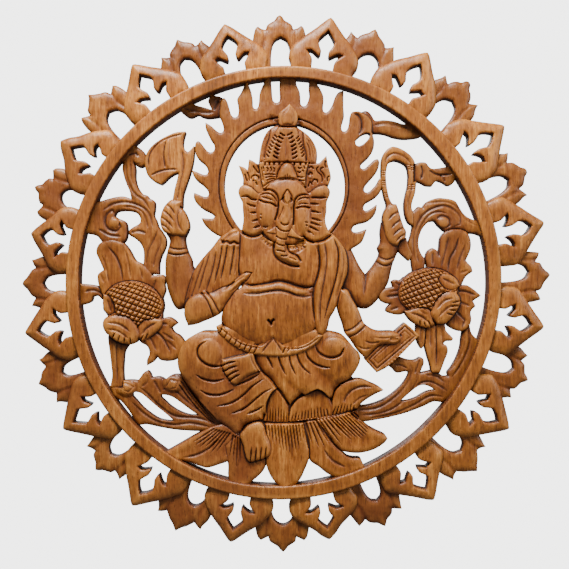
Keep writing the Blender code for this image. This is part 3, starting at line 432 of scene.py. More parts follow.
def oiled_wood():
    """Warm brown hardwood with an upright grain. Stain and painted shade darken its cuts, hollows and sawn
    sides, painted shade darkens its deeper levels, and wear with a painted highlight turns its high spots
    honey.
    """
    material = bpy.data.materials.new(SLOT)
    material.use_nodes = True
    tree = material.node_tree
    wood = Shade(tree)
    shader = tree.nodes["Principled BSDF"]
    place = wood.node("ShaderNodeTexCoord", output="Object")

    def grain(across, along, detail, seed):
        """Noise that runs with the upright grain. across and along are its rates for each metre."""
        stretched = wood.node(
            "ShaderNodeMapping",
            {},
            {0: place, "Location": (seed, seed, seed), "Scale": (across, across, along)},
        )
        return wood.node(
            "ShaderNodeTexNoise",
            {},
            {"Vector": stretched, "Scale": 1.0, "Detail": detail, "Roughness": 0.55},
        )

    def mixed(share, first, second):
        """A share of the second colour laid over the first."""
        return wood.node("ShaderNodeMix", {"data_type": "RGBA"}, {0: share, 6: first, 7: second}, output=2)

    def colour(red, green, blue):
        """A colour with nothing see-through in it."""
        return (red, green, blue, 1)

    tone = wood.node("ShaderNodeAttribute", {"attribute_name": "tone"}, output="Vector")
    low = wood.node("ShaderNodeSeparateXYZ", {}, {0: tone}, output="X")
    broad = wood.node("ShaderNodeSeparateXYZ", {}, {0: tone}, output="Y")
    height = wood.node("ShaderNodeSeparateXYZ", {}, {0: tone}, output="Z")
    facing = wood.node("ShaderNodeNewGeometry", output="Normal")
    facing = wood.node("ShaderNodeSeparateXYZ", {}, {0: facing}, output="Y") * -1.0

    figure = grain(22.0, 8.0, 3.0, 3.7)
    streaks = grain(230.0, 44.0, 4.0, 1.3)
    lines = grain(620.0, 64.0, 2.0, 8.1)
    pores = grain(900.0, 120.0, 2.0, 5.9)
    patches = grain(5.5, 4.0, 2.0, 11.2)

    share = figure * 0.40 + streaks * 0.38 + lines * 0.22
    base = wood.node(
        "ShaderNodeValToRGB",
        {
            "stops": [
                (0.34, (0.085, 0.018, 0.003)),
                (0.44, (0.230, 0.060, 0.009)),
                (0.53, (0.410, 0.128, 0.021)),
                (0.64, (0.760, 0.310, 0.066)),
            ]
        },
        {0: share},
    )
    purple = patches.between(0.45, 0.63) * 0.62
    base = mixed(purple, base, colour(0.190, 0.046, 0.014))
    # Wear and a painted highlight: raised places turn towards honey, flat ones a little.
    wear_and_painted_highlight = (broad * -1.0).between(-0.8, 2.6) * 0.34
    base = mixed(wear_and_painted_highlight, base, colour(0.860, 0.370, 0.072))
    pore = pores.between(0.60, 0.70) * 0.55
    base = mixed(pore, base, colour(0.110, 0.026, 0.006))
    # Painted shade: the wood darkens the further it lies below the carving's top, unless it faces backwards.
    painted_depth_shade = (CARVING_TOP - height).between(5.0, 15.0) * facing.between(-0.3, 0.1)
    base = mixed(painted_depth_shade * 0.60, base, colour(0.110, 0.028, 0.006))
    # Stain and painted shade: the wide hollows between the forms darken.
    stain_and_painted_shade_in_hollows = broad.between(0.3, 3.0)
    base = mixed(stain_and_painted_shade_in_hollows * 0.72, base, colour(0.070, 0.016, 0.004))
    # Stain and painted shade: the narrow cuts and grooves darken nearly to black.
    cut = low.between(0.08, 0.75)
    base = mixed(cut * 0.92, base, colour(0.030, 0.006, 0.002))
    # Dark stain of the sawn wood and painted shade: the sides that face sideways darken.
    sawn = 1.0 - (facing * facing).between(0.01, 0.30)
    base = mixed(sawn * 0.80, base, colour(0.060, 0.014, 0.004))
    tree.links.new(base.socket, shader.inputs["Base Color"])

    gloss = 0.46 - streaks * 0.14 + cut * 0.30 + sawn * 0.20
    tree.links.new(gloss.socket, shader.inputs["Roughness"])
    shader.inputs["Specular IOR Level"].default_value = 0.35
    shader.inputs["Coat Roughness"].default_value = 0.30
    shader.inputs["Coat Weight"].default_value = 0.16

    facets = grain(150.0, 110.0, 1.0, 2.2)
    relief = facets * 0.9 + streaks * 0.25 - pore * 0.35 + lines * 0.12
    bump = wood.node("ShaderNodeBump", {}, {"Strength": 0.75, "Distance": 0.0012, "Height": relief})
    tree.links.new(bump.socket, shader.inputs["Normal"])
    return material


OILED_WOOD = oiled_wood()


def finished(relief, name, back=0.0):
    """Makes a relief into wood that stands for the carved panel."""
    piece = solid(relief, name, back)
    piece.data.materials.append(OILED_WOOD)
    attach(piece, "root")
    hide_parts(NODE)


def around(angle, radius):
    """A place at an angle clockwise from the top."""
    turned = math.radians(angle)
    return (radius * math.sin(turned), radius * math.cos(turned))


RING_OUTER = [
    (0, 106), (45, 106.5), (60, 106.8), (90, 106.3), (125, 105), (150, 104.9), (175, 105.8), (200, 106.8),
    (225, 107), (250, 107), (290, 106.8), (330, 106),
]
RING_INNER = [
    (0, 100.5), (45, 99.3), (60, 99), (90, 100.5), (125, 98.5), (150, 98.3), (175, 99), (200, 101),
    (225, 101), (250, 100.8), (290, 100.7), (330, 99.2),
]


def uneven_circle(spots):
    """A circle whose radius changes gently between the angles at which it is given."""
    angles, radii = zip(*spots)
    turns = np.arange(0, 360, 5)
    widths = np.interp(turns, angles, radii, period=360)
    widths = sum(np.roll(widths, shift) for shift in (2, 1, 0, -1, -2)) / 5
    return [around(turn, width) for turn, width in zip(turns, widths)]


hoop = Relief((-110, -110), (110, 110), RING_CELL)
hoop.form(uneven_circle(RING_OUTER), RING_HEIGHT, roll=2.2, width=0.9)
hoop.pierce(uneven_circle(RING_INNER), roll=2.0, width=0.9)
hoop.worked(0.22, 6.0, 1)
finished(hoop, "ring")


# The border's lower leaves: sixteen broad leaves with a pierced arch at the foot, one in each gap.
# They are the same plank cut down to about half its thickness, each by hand, so no two are alike.

LEAVES = [
    (359.0, 132.3, 121.3, -3.3, 1.5), (19.8, 133.0, 121.0, 18.0, 24.0), (42.7, 135.0, 122.5, 40.0, 45.7),
    (65.2, 132.2, 122.0, 63.0, 67.8), (88.3, 131.5, 121.0, 85.2, 89.7), (111.8, 129.8, 121.0, 108.2, 112.8),
    (134.3, 133.3, 120.5, 131.0, 136.0), (157.5, 130.0, 117.0, 155.0, 159.0),
    (180.2, 133.0, 119.8, 177.5, 183.2), (203.7, 133.8, 119.0, 200.0, 204.8),
    (225.2, 131.5, 120.5, 223.0, 227.7), (247.6, 131.5, 118.5, 246.2, 249.8),
    (269.8, 129.5, 119.2, 267.7, 272.0), (291.0, 131.8, 118.5, 289.0, 294.0),
    (313.8, 134.0, 121.0, 311.5, 316.8), (336.2, 131.3, 121.5, 333.5, 338.3),
]
BORDER_CELL = 0.40
BORDER_FOOT = 106
LEAF_TOP = 14.4


def varied(draw, half, low, high, shift):
    """One half of a motif with small random changes: sideways by a factor, lengthways by a shift."""
    return [(side * draw.uniform(low, high), share + draw.uniform(-shift, shift)) for side, share in half]


def motif(half, angle, foot, tip, lean=0.0):
    """Places a two-sided shape, given as sideways and share of the way to the tip, at an angle."""
    both = half + [(-side, share) for side, share in reversed(half) if side > 0.01]
    turned = math.radians(angle)
    placed = []
    for side, share in both:
        radius = foot + share * (tip - foot)
        side += lean * share * (1 - share) * 4
        x = radius * math.sin(turned) + side * math.cos(turned)
        z = radius * math.cos(turned) - side * math.sin(turned)
        placed.append((x, z))
    return placed


LEAF_HALF = [
    (9.0, -0.14), (12.0, 0.10), (13.4, 0.38), (13.2, 0.58), (11.9, 0.74), (11.2, 0.80), (9.2, 0.76),
    (7.2, 0.725), (6.3, 0.80), (4.4, 0.86), (2.6, 0.90), (1.4, 0.96), (0.0, 1.0),
]
ARCH_HALF = [(4.6, -0.06), (4.8, 0.20), (4.4, 0.62), (3.0, 0.88), (0.0, 1.0)]

low_leaves = Relief((-139, -139), (139, 139), BORDER_CELL)
for index, (angle, tip, *_) in enumerate(LEAVES):
    draw = np.random.default_rng(40 + index)
    shape = varied(draw, LEAF_HALF, 0.94, 1.04, 0.012)
    outline = motif(shape, angle, BORDER_FOOT, tip, draw.uniform(-0.8, 0.8))
    low_leaves.form(outline, LEAF_TOP + draw.uniform(-0.6, 0.6), roll=3.6, width=4.2, sharp=50)
    for side in (-1, 1):
        spine = [around(angle + side * bend, radius) for bend, radius in ((4.6, 113), (3.6, 121), (3.9, 127))]
        low_leaves.groove(spine, 0.9, 1.5, (0.3, 0.3))
for *_, arch, start, end in LEAVES:
    swell = (end - start) / 2 / math.degrees(4.6 / 112)
    hole = motif([(side * swell, share) for side, share in ARCH_HALF], (start + end) / 2, 105, arch)
    low_leaves.groove(hole, 1.0, 1.5, closed=True)
    low_leaves.pierce(hole, roll=1.2, width=0.8)
low_leaves.worked(0.30, 3.5, 2)
finished(low_leaves, "border_leaves", 0.10)


# The border's spade leaves: sixteen pointed leaves with a pierced fleur, set over the lower leaves.
# They are the same plank, left thicker than the lower leaves, with rounded rims and eased holes.

SPADES = [
    (10.0, 132.3), (32.0, 133.5), (54.5, 133.0), (77.0, 131.0), (99.7, 129.5), (123.0, 132.0),
    (145.5, 129.5), (170.0, 128.3), (191.7, 130.3), (214.3, 132.8), (236.5, 130.5), (259.0, 130.0),
    (281.0, 127.0), (302.3, 130.3), (325.2, 130.8), (347.0, 130.5),
]
SPADE_TOP = 20.4
SPADE_HALF = [
    (14.6, -0.10), (16.4, 0.06), (17.1, 0.16), (16.7, 0.30), (14.6, 0.44), (11.2, 0.58), (7.0, 0.74),
    (3.6, 0.88), (1.3, 0.97), (0.0, 1.0),
]
FLEUR_HALF = [
    (5.8, -0.04), (5.6, 0.12), (6.4, 0.20), (9.0, 0.325), (6.6, 0.35), (4.2, 0.29), (2.6, 0.245),
    (1.9, 0.34), (3.0, 0.44), (4.0, 0.54), (2.6, 0.64), (0.0, 0.745),
]

spades = Relief((-139, -139), (139, 139), BORDER_CELL)
for index, (angle, tip) in enumerate(SPADES):
    draw = np.random.default_rng(80 + index)
    shape = varied(draw, SPADE_HALF, 0.97, 1.03, 0.008)
    fleur = varied(draw, FLEUR_HALF, 0.92, 1.06, 0.012)
    spades.form(motif(shape, angle, BORDER_FOOT, tip), SPADE_TOP, roll=5.5, width=5.5, sharp=60)
    spades.pierce(motif(fleur, angle, BORDER_FOOT, tip), roll=1.6, width=1.2, sharp=50)
spades.worked(0.30, 4.0, 3)
finished(spades, "border_spades", 0.05)


# The halo: an oval band behind the head with flames around it, tied to the ring by two curled sprigs.
# It is flat like the plank it is sawn from. The slots between the flames and the oval are cut through.

HALO_CELL = 0.36
HALO_TOP = 15.0
SPRIG_TOP = 12.0

HALO_LEFT = [
    (-2.2, 101.5), (-2.4, 96.5), (-2.2, 92.0), (-2.3, 89.8), (-3.2, 88.8), (-4.6, 88.8), (-5.6, 90.0),
    (-6.0, 93.5), (-6.6, 101.8), (-9.2, 101.8), (-9.9, 98.8), (-11.2, 95.8), (-12.1, 93.2), (-12.4, 90.0),
    (-12.7, 87.2), (-13.5, 85.8), (-14.7, 85.7), (-15.5, 87.2), (-15.7, 91.0), (-16.3, 94.2),
    (-17.8, 98.4), (-18.2, 100.8), (-19.8, 97.0), (-21.5, 93.2), (-23.2, 90.4), (-22.8, 87.6),
    (-22.5, 84.6), (-22.9, 82.4), (-24.0, 81.4), (-25.4, 81.8), (-26.4, 83.4), (-27.2, 86.2),
    (-28.2, 89.4), (-29.6, 91.2), (-31.2, 90.0), (-31.8, 86.0), (-32.0, 82.4), (-31.0, 79.8),
    (-30.2, 77.4), (-29.9, 75.2), (-30.8, 74.0), (-32.0, 74.0), (-33.8, 75.2), (-36.0, 77.2),
    (-38.9, 79.0), (-38.7, 76.0), (-37.6, 73.2), (-36.2, 70.4), (-34.8, 68.4), (-34.3, 66.4),
    (-34.9, 64.8), (-36.5, 64.2), (-38.0, 65.0), (-39.8, 67.2), (-41.4, 69.2), (-42.6, 69.8),
    (-43.7, 68.8), (-44.0, 65.4), (-43.2, 62.2), (-41.4, 60.0), (-39.4, 58.4), (-37.9, 56.2),
    (-37.6, 54.2), (-38.6, 53.2), (-40.6, 53.5), (-43.4, 54.7), (-45.5, 55.3), (-44.7, 52.6),
    (-43.2, 50.4), (-40.4, 48.2), (-38.2, 46.0), (-37.2, 43.9), (-37.9, 42.5), (-39.2, 42.3),
    (-41.6, 43.2), (-44.4, 44.4), (-44.6, 42.0), (-43.0, 38.8), (-39.8, 36.0), (-36.2, 34.2),
    (-34.3, 32.7), (-34.9, 31.7), (-37.4, 31.6), (-40.8, 31.9), (-39.8, 29.4), (-37.4, 26.4),
    (-34.5, 24.2), (-30.0, 21.5), (-26.0, 14.0),
]
HALO_RIGHT = [
    (28.0, 13.0), (34.0, 17.0), (38.2, 20.0), (40.8, 26.6), (36.5, 25.0), (34.0, 25.0), (33.4, 26.2),
    (34.8, 28.2), (41.5, 30.4), (44.8, 34.0), (45.8, 38.8), (42.2, 36.2), (39.8, 35.4), (39.0, 36.6),
    (40.0, 38.8), (43.0, 40.6), (45.8, 42.6), (48.0, 46.2), (48.6, 52.0), (47.2, 51.6), (45.6, 48.8),
    (43.5, 46.4), (41.6, 44.7), (40.1, 44.5), (39.3, 45.6), (39.8, 47.4), (41.4, 49.4), (43.4, 51.6),
    (45.0, 53.6), (46.3, 56.2), (46.9, 59.6), (46.1, 61.0), (44.6, 60.6), (43.0, 59.3), (41.0, 57.4),
    (39.4, 56.1), (38.1, 56.2), (37.6, 57.4), (38.4, 58.8), (40.2, 60.4), (42.0, 62.2), (43.4, 64.4),
    (44.2, 67.0), (44.3, 70.0), (43.4, 74.0), (43.0, 80.0), (38.2, 84.0), (33.6, 84.2), (32.6, 82.6),
    (32.2, 79.4), (31.6, 76.8), (30.6, 75.0), (29.4, 74.5), (28.4, 75.2), (28.2, 76.8), (28.8, 79.0),
    (29.5, 82.0), (29.2, 86.0), (29.2, 91.0), (29.3, 94.6), (27.4, 94.2), (26.0, 93.0), (24.8, 90.8),
    (23.5, 87.2), (21.9, 84.7), (20.6, 83.8), (19.5, 84.2), (19.1, 85.8), (19.4, 89.4), (19.2, 92.2),
    (17.8, 95.4), (16.2, 98.2), (15.4, 101.8), (12.4, 101.8), (12.1, 96.0), (12.4, 92.8), (11.8, 89.6),
    (10.8, 87.5), (9.4, 86.9), (8.2, 88.0), (8.0, 91.0), (7.6, 94.0), (6.2, 97.2), (4.8, 101.5),
]
OPENING = (0.3, 47.5)
OPENING_RADII = (29.8, 31.0)

halo = Relief((-54, 7), (72, 103), HALO_CELL)
halo.form([
    (-54.0, 89.0), (-51.0, 84.6), (-49.4, 83.2), (-47.4, 81.8), (-45.4, 81.6), (-43.8, 82.4),
    (-42.4, 82.9), (-40.6, 82.0), (-38.2, 81.3), (-35.6, 81.4), (-30.0, 82.2), (-28.4, 88.0),
    (-30.2, 91.0), (-32.2, 92.1), (-34.6, 92.5), (-37.0, 93.6), (-44.0, 92.0),
], SPRIG_TOP, roll=2.2, width=2.4)
halo.pierce([
    (-47.6, 89.2), (-45.0, 88.2), (-42.0, 87.2), (-38.6, 86.3), (-35.7, 85.4), (-36.7, 87.4),
    (-37.6, 89.4), (-37.2, 91.0), (-36.4, 92.0), (-38.0, 94.6), (-46.0, 92.0),
], sharp=48)
halo.groove([(-50.0, 86.0), (-44.6, 84.8), (-38.6, 83.9), (-34.4, 84.2)], 1.3, 1.2, (0.1, 0.2))
halo.groove([(-35.0, 85.0), (-33.6, 87.4), (-32.4, 90.6)], 1.8, 1.1, (0.2, 0.2))
halo.form([
    (36.0, 80.0), (37.2, 83.4), (38.8, 84.5), (40.4, 84.9), (42.0, 84.2), (43.5, 82.2), (44.9, 80.2),
    (49.0, 80.4), (54.0, 79.8), (59.8, 78.4), (62.0, 80.5), (69.5, 76.0), (69.5, 73.4), (66.4, 71.8),
    (63.6, 71.3), (59.0, 71.0), (54.0, 71.8), (50.0, 73.2), (47.0, 73.7), (43.0, 73.7), (36.0, 73.0),
], SPRIG_TOP, roll=2.4, width=2.6)
halo.groove([(44.0, 77.6), (49.0, 78.6), (55.0, 77.9), (62.0, 76.0)], 1.4, 1.2, (0.15, 0.1))
halo.groove([(38.8, 82.8), (39.4, 79.6), (42.0, 77.0)], 1.5, 1.3, (0.2, 0.2))
halo.form(HALO_LEFT + HALO_RIGHT, HALO_TOP, roll=2.2, width=1.5, sharp=75)
halo.pierce([
    (35.1, 68.6), (35.5, 70.4), (37.0, 71.9), (39.0, 73.3), (41.4, 73.8), (42.5, 73.0), (41.6, 71.0),
    (39.8, 69.0), (37.8, 67.6), (36.1, 67.4),
])
halo.groove([
    (33.8, 83.4), (36.4, 82.4), (37.8, 80.2), (38.2, 77.4), (37.8, 74.8), (36.4, 72.4),
], 2.6, 1.3, (0.15, 0.3))
halo.groove(ellipse((-0.2, 47.6), (32.0, 33.8)), 2.2, 0.55, closed=True)
halo.pierce(ellipse(OPENING, OPENING_RADII), roll=1.4, width=1.0)
halo.groove([(-5.8, 80.6), (-3.4, 79.0)], 3.0, 2.4)
halo.groove([(6.4, 80.4), (7.6, 77.8)], 3.0, 2.0)
halo.worked(0.24, 2.8, 4)
finished(halo, "halo", 0.02)


# The head: an elephant's face with closed eyes and a curled trunk, under a tall crown with a bud on top.
# It is the finest carving of the panel. Its cheeks and forehead stand nearly at the plank's full height.

HEAD_CELL = 0.24
EAR_TOP = 21.4
CREST_TOP = 19.4
CROWN_TOP = 20.0
CONE_TOP = 23.2
BAND_TOP = 23.2
FACE_TOP = 21.8
TRUNK_TOP = 25.6
BUD_TOP = 21.4
JEWEL_TOP = 25.0
TUSK_TOP = 23.0
BROW_MARK_TOP = 25.9


def strokes(relief, marks, depth, width, ends=(0.15, 0.3)):
    """Short cuts made with one gouge, each along its own line."""
    for mark in marks:
        relief.groove(mark, depth, width, ends)


head = Relief((-25, 7), (25, 90), HEAD_CELL)
head.form([
    (-10.0, 46.0), (-12.4, 43.8), (-14.2, 46.0), (-17.0, 47.7), (-19.8, 48.0), (-21.8, 46.6),
    (-22.5, 44.4), (-21.8, 41.8), (-20.6, 39.5), (-20.3, 35.5), (-20.0, 31.0), (-20.5, 27.5),
    (-20.9, 25.6), (-18.6, 24.0), (-15.6, 23.3), (-12.6, 24.1), (-9.0, 26.0), (-9.0, 42.0),
], EAR_TOP, roll=2.2, width=1.6)
head.form([
    (9.0, 44.0), (12.4, 44.1), (14.6, 46.3), (17.6, 47.8), (20.6, 47.4), (22.4, 45.0), (22.1, 42.4),
    (20.9, 39.8), (20.7, 35.0), (20.1, 30.5), (21.2, 26.6), (22.8, 24.0), (19.0, 21.5), (15.0, 20.6),
    (11.8, 21.4), (9.5, 23.5), (9.0, 30.0),
], EAR_TOP, roll=2.2, width=1.6)
head.dome((-17.2, 44.4), (4.8, 3.6), EAR_TOP + 2.0, EAR_TOP - 3.0, -12)
head.dome((17.6, 44.6), (4.8, 3.4), EAR_TOP + 2.0, EAR_TOP - 3.0, 8)
strokes(head, (
    [(-21.4, 41.8), (-18.2, 42.2), (-15.8, 40.7), (-13.0, 40.5)], [(21.6, 41.6), (16.8, 41.5), (12.8, 41.6)],
), 2.2, 0.8, (0.3, 0.1))
strokes(head, (
    [(-14.4, 37.3), (-16.6, 37.8), (-18.8, 38.9)], [(-14.2, 34.2), (-17.0, 34.1)],
    [(-13.0, 30.7), (-16.2, 29.9)],
    [(-12.4, 27.6), (-15.4, 26.6)],
    [(12.6, 38.6), (17.4, 38.3)], [(13.4, 34.9), (18.2, 34.1)], [(13.8, 31.3), (18.6, 30.0)],
    [(13.2, 29.3), (18.2, 27.6)], [(12.6, 27.3), (17.4, 24.9)], [(11.4, 25.2), (14.8, 23.2)],
), 2.4, 0.8, (0.0, 0.5))
strokes(head, (
    [(-19.0, 37.4), (-18.6, 32.0), (-19.0, 27.0)], [(-17.6, 36.0), (-17.2, 30.0)],
    [(19.0, 37.0), (19.2, 30.0)],
), 0.9, 0.6)

head.form([
    (-8.0, 45.0), (-12.4, 43.4), (-16.5, 46.6), (-20.3, 48.2), (-20.2, 50.8), (-20.9, 53.6), (-22.4, 57.5),
    (-19.8, 56.6), (-18.0, 55.3), (-17.3, 60.6), (-15.2, 59.6), (-12.6, 58.2), (-9.0, 60.0),
], CREST_TOP, roll=1.6, width=1.3)
head.form([
    (8.0, 45.0), (12.4, 44.0), (16.5, 46.6), (21.8, 47.8), (22.9, 51.0), (22.7, 53.6), (21.6, 57.6),
    (20.7, 62.4), (18.6, 60.2), (17.0, 58.7), (14.5, 58.8), (9.0, 60.0),
], CREST_TOP, roll=1.6, width=1.3)
strokes(head, (
    [(-16.4, 50.4), (-15.8, 52.0), (-14.2, 52.6), (-12.6, 51.8), (-12.4, 50.0)],
    [(-15.4, 49.6), (-14.6, 50.8), (-13.4, 50.4)], [(-14.0, 49.4), (-13.0, 47.6)],
    [(-19.4, 53.4), (-18.8, 51.2), (-17.8, 49.4)], [(-18.2, 54.4), (-17.4, 52.4), (-16.9, 49.4)],
    [(-13.4, 58.0), (-11.9, 54.6), (-10.5, 51.8), (-10.0, 48.0)],
    [(-15.4, 57.4), (-13.6, 54.8), (-12.0, 53.4)],
    [(13.4, 48.8), (14.6, 50.6), (16.2, 50.2), (16.4, 48.6)], [(11.6, 46.8), (12.6, 49.4), (14.2, 47.6)],
    [(16.9, 57.0), (15.8, 55.8), (16.4, 54.2), (18.2, 52.6), (18.7, 50.4), (18.2, 48.8)],
    [(19.6, 56.6), (18.0, 56.0), (17.8, 54.8), (19.4, 53.0), (20.0, 50.6)],
    [(22.2, 52.4), (21.2, 51.2), (21.4, 49.4)], [(11.4, 52.6), (12.8, 54.0), (14.2, 52.8)],
    [(11.8, 56.0), (13.2, 56.8), (14.8, 55.6)], [(20.4, 60.0), (20.0, 58.0), (20.8, 56.0)],
), 2.2, 0.62, (0.1, 0.2))
head.dome((-14.1, 50.6), (1.0, 0.9), CREST_TOP + 0.9, CREST_TOP - 1.5, blend=0.2)
head.dome((12.8, 51.6), (1.3, 1.1), CREST_TOP + 1.0, CREST_TOP - 1.5, blend=0.2)

head.form([
    (-12.6, 58.0), (-12.3, 61.0), (-11.8, 65.0), (-10.7, 69.5), (-9.4, 72.5), (-7.6, 75.0), (-5.4, 76.6),
    (-1.5, 77.6), (5.0, 77.6), (7.4, 75.6), (9.8, 74.0), (12.4, 71.7), (14.6, 68.6), (15.9, 65.4),
    (16.2, 62.0), (15.8, 58.0),
], CROWN_TOP, roll=4.0, width=3.6)
strokes(head, (
    [(-7.0, 75.4), (-7.4, 71.0), (-8.9, 66.6), (-9.9, 61.0)],
    [(9.2, 74.0), (9.5, 68.0), (10.7, 63.0), (11.0, 59.6)],
), 2.2, 0.8, (0.05, 0.05))
strokes(head, (
    [(-9.2, 72.4), (-10.6, 66.8), (-11.2, 60.6)], [(-8.2, 73.0), (-9.6, 68.0), (-10.4, 62.0)],
    [(11.0, 71.0), (13.4, 66.6), (14.4, 60.0)], [(10.8, 69.0), (12.4, 65.4), (12.8, 60.0)],
    [(12.4, 70.2), (14.6, 66.4), (15.2, 62.0)],
), 1.5, 0.6)
head.form([
    (-10.0, 58.0), (-9.4, 61.0), (-8.4, 65.0), (-7.0, 68.6), (-5.0, 72.2), (-2.6, 76.4), (1.4, 77.4),
    (5.6, 76.4), (7.4, 72.2), (8.7, 69.0), (9.7, 65.0), (10.5, 61.0), (10.8, 58.0),
], CONE_TOP, roll=3.4, width=3.0)
head.groove([(-2.0, 74.8), (-2.8, 68.0), (-3.8, 60.0)], 0.9, 0.6, (0.2, 0.1))
head.groove([(1.0, 74.0), (0.9, 67.0), (0.8, 60.0)], 0.7, 0.5, (0.3, 0.1))
head.groove([(3.2, 74.4), (3.9, 68.0), (3.8, 60.0)], 0.9, 0.6, (0.2, 0.1))
for top, middle, foot, lean in (
    ((-1.0, 72.2), (-3.0, 67.8), (-4.4, 61.2), -1.0), ((2.8, 72.4), (4.5, 67.4), (5.4, 61.0), 1.0),
    ((-4.2, 71.4), (-6.4, 67.0), (-8.2, 62.0), -0.49), ((6.6, 70.8), (8.4, 66.4), (9.3, 62.0), 0.49),
):
    spine = curve([top, middle, foot], False, spacing=0.2)
    for stop in range(7):
        x, z = spine[int((len(spine) - 1) * stop / 6)]
        head.groove([(x - 1.1 * lean, z - 0.35), (x - 0.2 * lean, z), (x + 0.8 * lean, z + 0.75)], 2.8, 0.58)

head.form([
    (-1.4, 76.0), (-2.6, 77.8), (-2.9, 80.0), (-2.6, 82.4), (-1.5, 84.1), (0.6, 85.9), (2.6, 87.8),
    (4.4, 85.8), (6.0, 83.6), (6.7, 81.0), (6.3, 78.4), (5.3, 76.0),
], BUD_TOP, roll=2.2, width=1.5)
head.form([
    (-0.8, 77.4), (-1.3, 79.8), (-0.6, 82.2), (0.8, 84.0), (2.4, 85.7), (4.2, 83.4), (4.9, 81.0),
    (4.7, 78.6), (3.8, 77.2),
], BUD_TOP + 1.6, roll=1.8, width=1.5)
head.groove([(-2.4, 76.5), (1.6, 76.2), (5.8, 76.4)], 2.4, 0.7)

head.form([
    (-10.4, 46.0), (-11.2, 50.0), (-12.0, 54.0), (-12.6, 58.6), (-10.0, 59.8), (-6.0, 59.4), (1.2, 59.4),
    (8.0, 59.2), (12.4, 59.6), (11.4, 56.0), (10.6, 52.0), (10.6, 47.0), (0.0, 44.0),
], BAND_TOP, roll=1.2, width=0.9)
strokes(head, (
    [(-11.6, 59.2), (-6.0, 58.8), (1.2, 58.9), (8.0, 58.6), (12.6, 58.8)],
), 2.2, 0.6, (0.02, 0.02))
for x in (-9.4, -7.2, -5.0, -2.4, 5.0, 7.9, 10.6):
    head.groove([(x, 58.4), (x, 57.6)], 3.4, 0.75)
strokes(head, (
    [(-8.6, 56.4), (-7.8, 55.4), (-8.4, 54.0)], [(-7.0, 56.6), (-6.2, 55.4), (-6.8, 54.0)],
    [(-5.4, 56.4), (-4.7, 55.2), (-5.2, 53.8)], [(-9.8, 52.6), (-7.0, 53.0), (-4.0, 52.5)],
    [(-9.6, 51.2), (-7.0, 51.7), (-4.0, 51.6)], [(-8.8, 49.8), (-6.4, 50.6), (-4.2, 50.8)],
    [(-11.2, 56.6), (-10.6, 53.0), (-10.2, 49.0)], [(-10.2, 57.0), (-9.8, 54.0)],
    [(6.6, 56.4), (7.6, 55.6), (8.6, 56.4)], [(6.4, 54.4), (7.4, 53.6), (8.2, 54.4)],
    [(8.8, 55.0), (9.6, 54.2)],
    [(6.4, 51.9), (8.0, 51.4), (10.0, 51.6)], [(7.0, 50.4), (8.6, 49.8), (10.2, 49.8)],
    [(9.6, 57.0), (10.2, 55.4)],
), 1.9, 0.5, (0.1, 0.2))
head.form([
    (-3.4, 50.0), (-2.9, 52.6), (-2.0, 55.0), (-0.5, 57.4), (1.4, 58.7), (3.6, 57.2), (5.0, 54.6),
    (5.8, 52.0), (6.1, 50.0), (1.4, 49.0),
], JEWEL_TOP, roll=3.4, width=2.8)
strokes(head, ([
    (-3.8, 50.4), (-3.4, 52.8), (-2.5, 55.2), (-0.9, 57.8), (1.4, 59.2), (4.0, 57.6), (5.4, 54.8),
    (6.3, 52.2), (6.5, 50.4),
],), 2.6, 0.75, (0.05, 0.05))
strokes(head, ([(0.4, 50.6), (0.6, 52.6)], [(1.6, 50.6), (1.6, 53.2)], [(2.8, 50.6), (2.7, 52.4)]), 1.3, 0.5)

head.form([
    (-13.9, 34.0), (-13.7, 37.0), (-12.8, 40.6), (-11.6, 43.4), (-9.8, 46.0), (-7.0, 48.6), (-3.6, 50.0),
    (0.6, 50.6), (5.0, 50.3), (8.0, 48.8), (10.4, 46.0), (12.2, 43.0), (13.0, 39.0), (13.5, 34.0),
    (12.8, 30.0), (11.0, 26.6), (9.6, 23.4), (8.4, 22.0), (4.5, 19.0), (-4.0, 19.6), (-8.5, 22.6),
    (-11.0, 26.2), (-12.4, 28.6), (-13.4, 31.0),
], FACE_TOP, roll=3.0, width=2.4)
head.dome((0.8, 44.4), (10.4, 7.4), 25.2, 18.0, power=0.42)
head.dome((-8.3, 34.2), (5.7, 9.0), 25.0, 14.0, 4, power=0.38)
head.dome((8.9, 31.2), (4.6, 9.0), 24.8, 14.0, 3, power=0.38)
strokes(head, (
    [(-10.4, 46.6), (-7.4, 48.9), (-3.6, 50.3), (0.6, 50.9), (5.4, 50.5), (8.4, 48.9), (10.6, 46.2)],
), 2.2, 0.8, (0.02, 0.02))
strokes(head, (
    [(-10.6, 44.9), (-7.4, 45.4), (-4.6, 44.0), (-3.0, 41.4), (-2.7, 38.0), (-3.2, 34.4), (-4.5, 30.2)],
    [(11.8, 43.0), (9.0, 43.0), (6.6, 42.0), (5.0, 39.8), (4.6, 36.6), (4.6, 32.0), (4.4, 28.0)],
), 2.8, 0.85, (0.08, 0.02))
strokes(head, (
    [(-12.4, 42.6), (-9.4, 43.6), (-6.2, 42.8), (-4.0, 40.4), (-3.3, 38.0)],
    [(12.6, 41.2), (9.6, 41.5), (7.2, 40.6), (5.8, 38.8)],
), 1.8, 0.65)
strokes(head, (
    [(-12.6, 40.6), (-9.8, 39.4), (-6.4, 38.7), (-3.4, 36.9)],
    [(5.4, 36.2), (8.2, 37.0), (11.0, 36.9), (12.8, 36.4)],
), 3.0, 0.75, (0.1, 0.1))
strokes(head, (
    [(-11.4, 41.9), (-8.6, 41.3), (-5.4, 40.0)], [(6.6, 37.9), (9.2, 38.7), (12.2, 38.3)],
    [(-11.8, 33.4), (-10.8, 33.0)], [(-12.0, 31.8), (-10.8, 31.4)], [(10.0, 29.6), (11.8, 29.2)],
    [(10.4, 28.2), (11.6, 27.6)], [(-10.6, 27.4), (-9.0, 27.0), (-7.6, 27.6)],
), 1.5, 0.55)

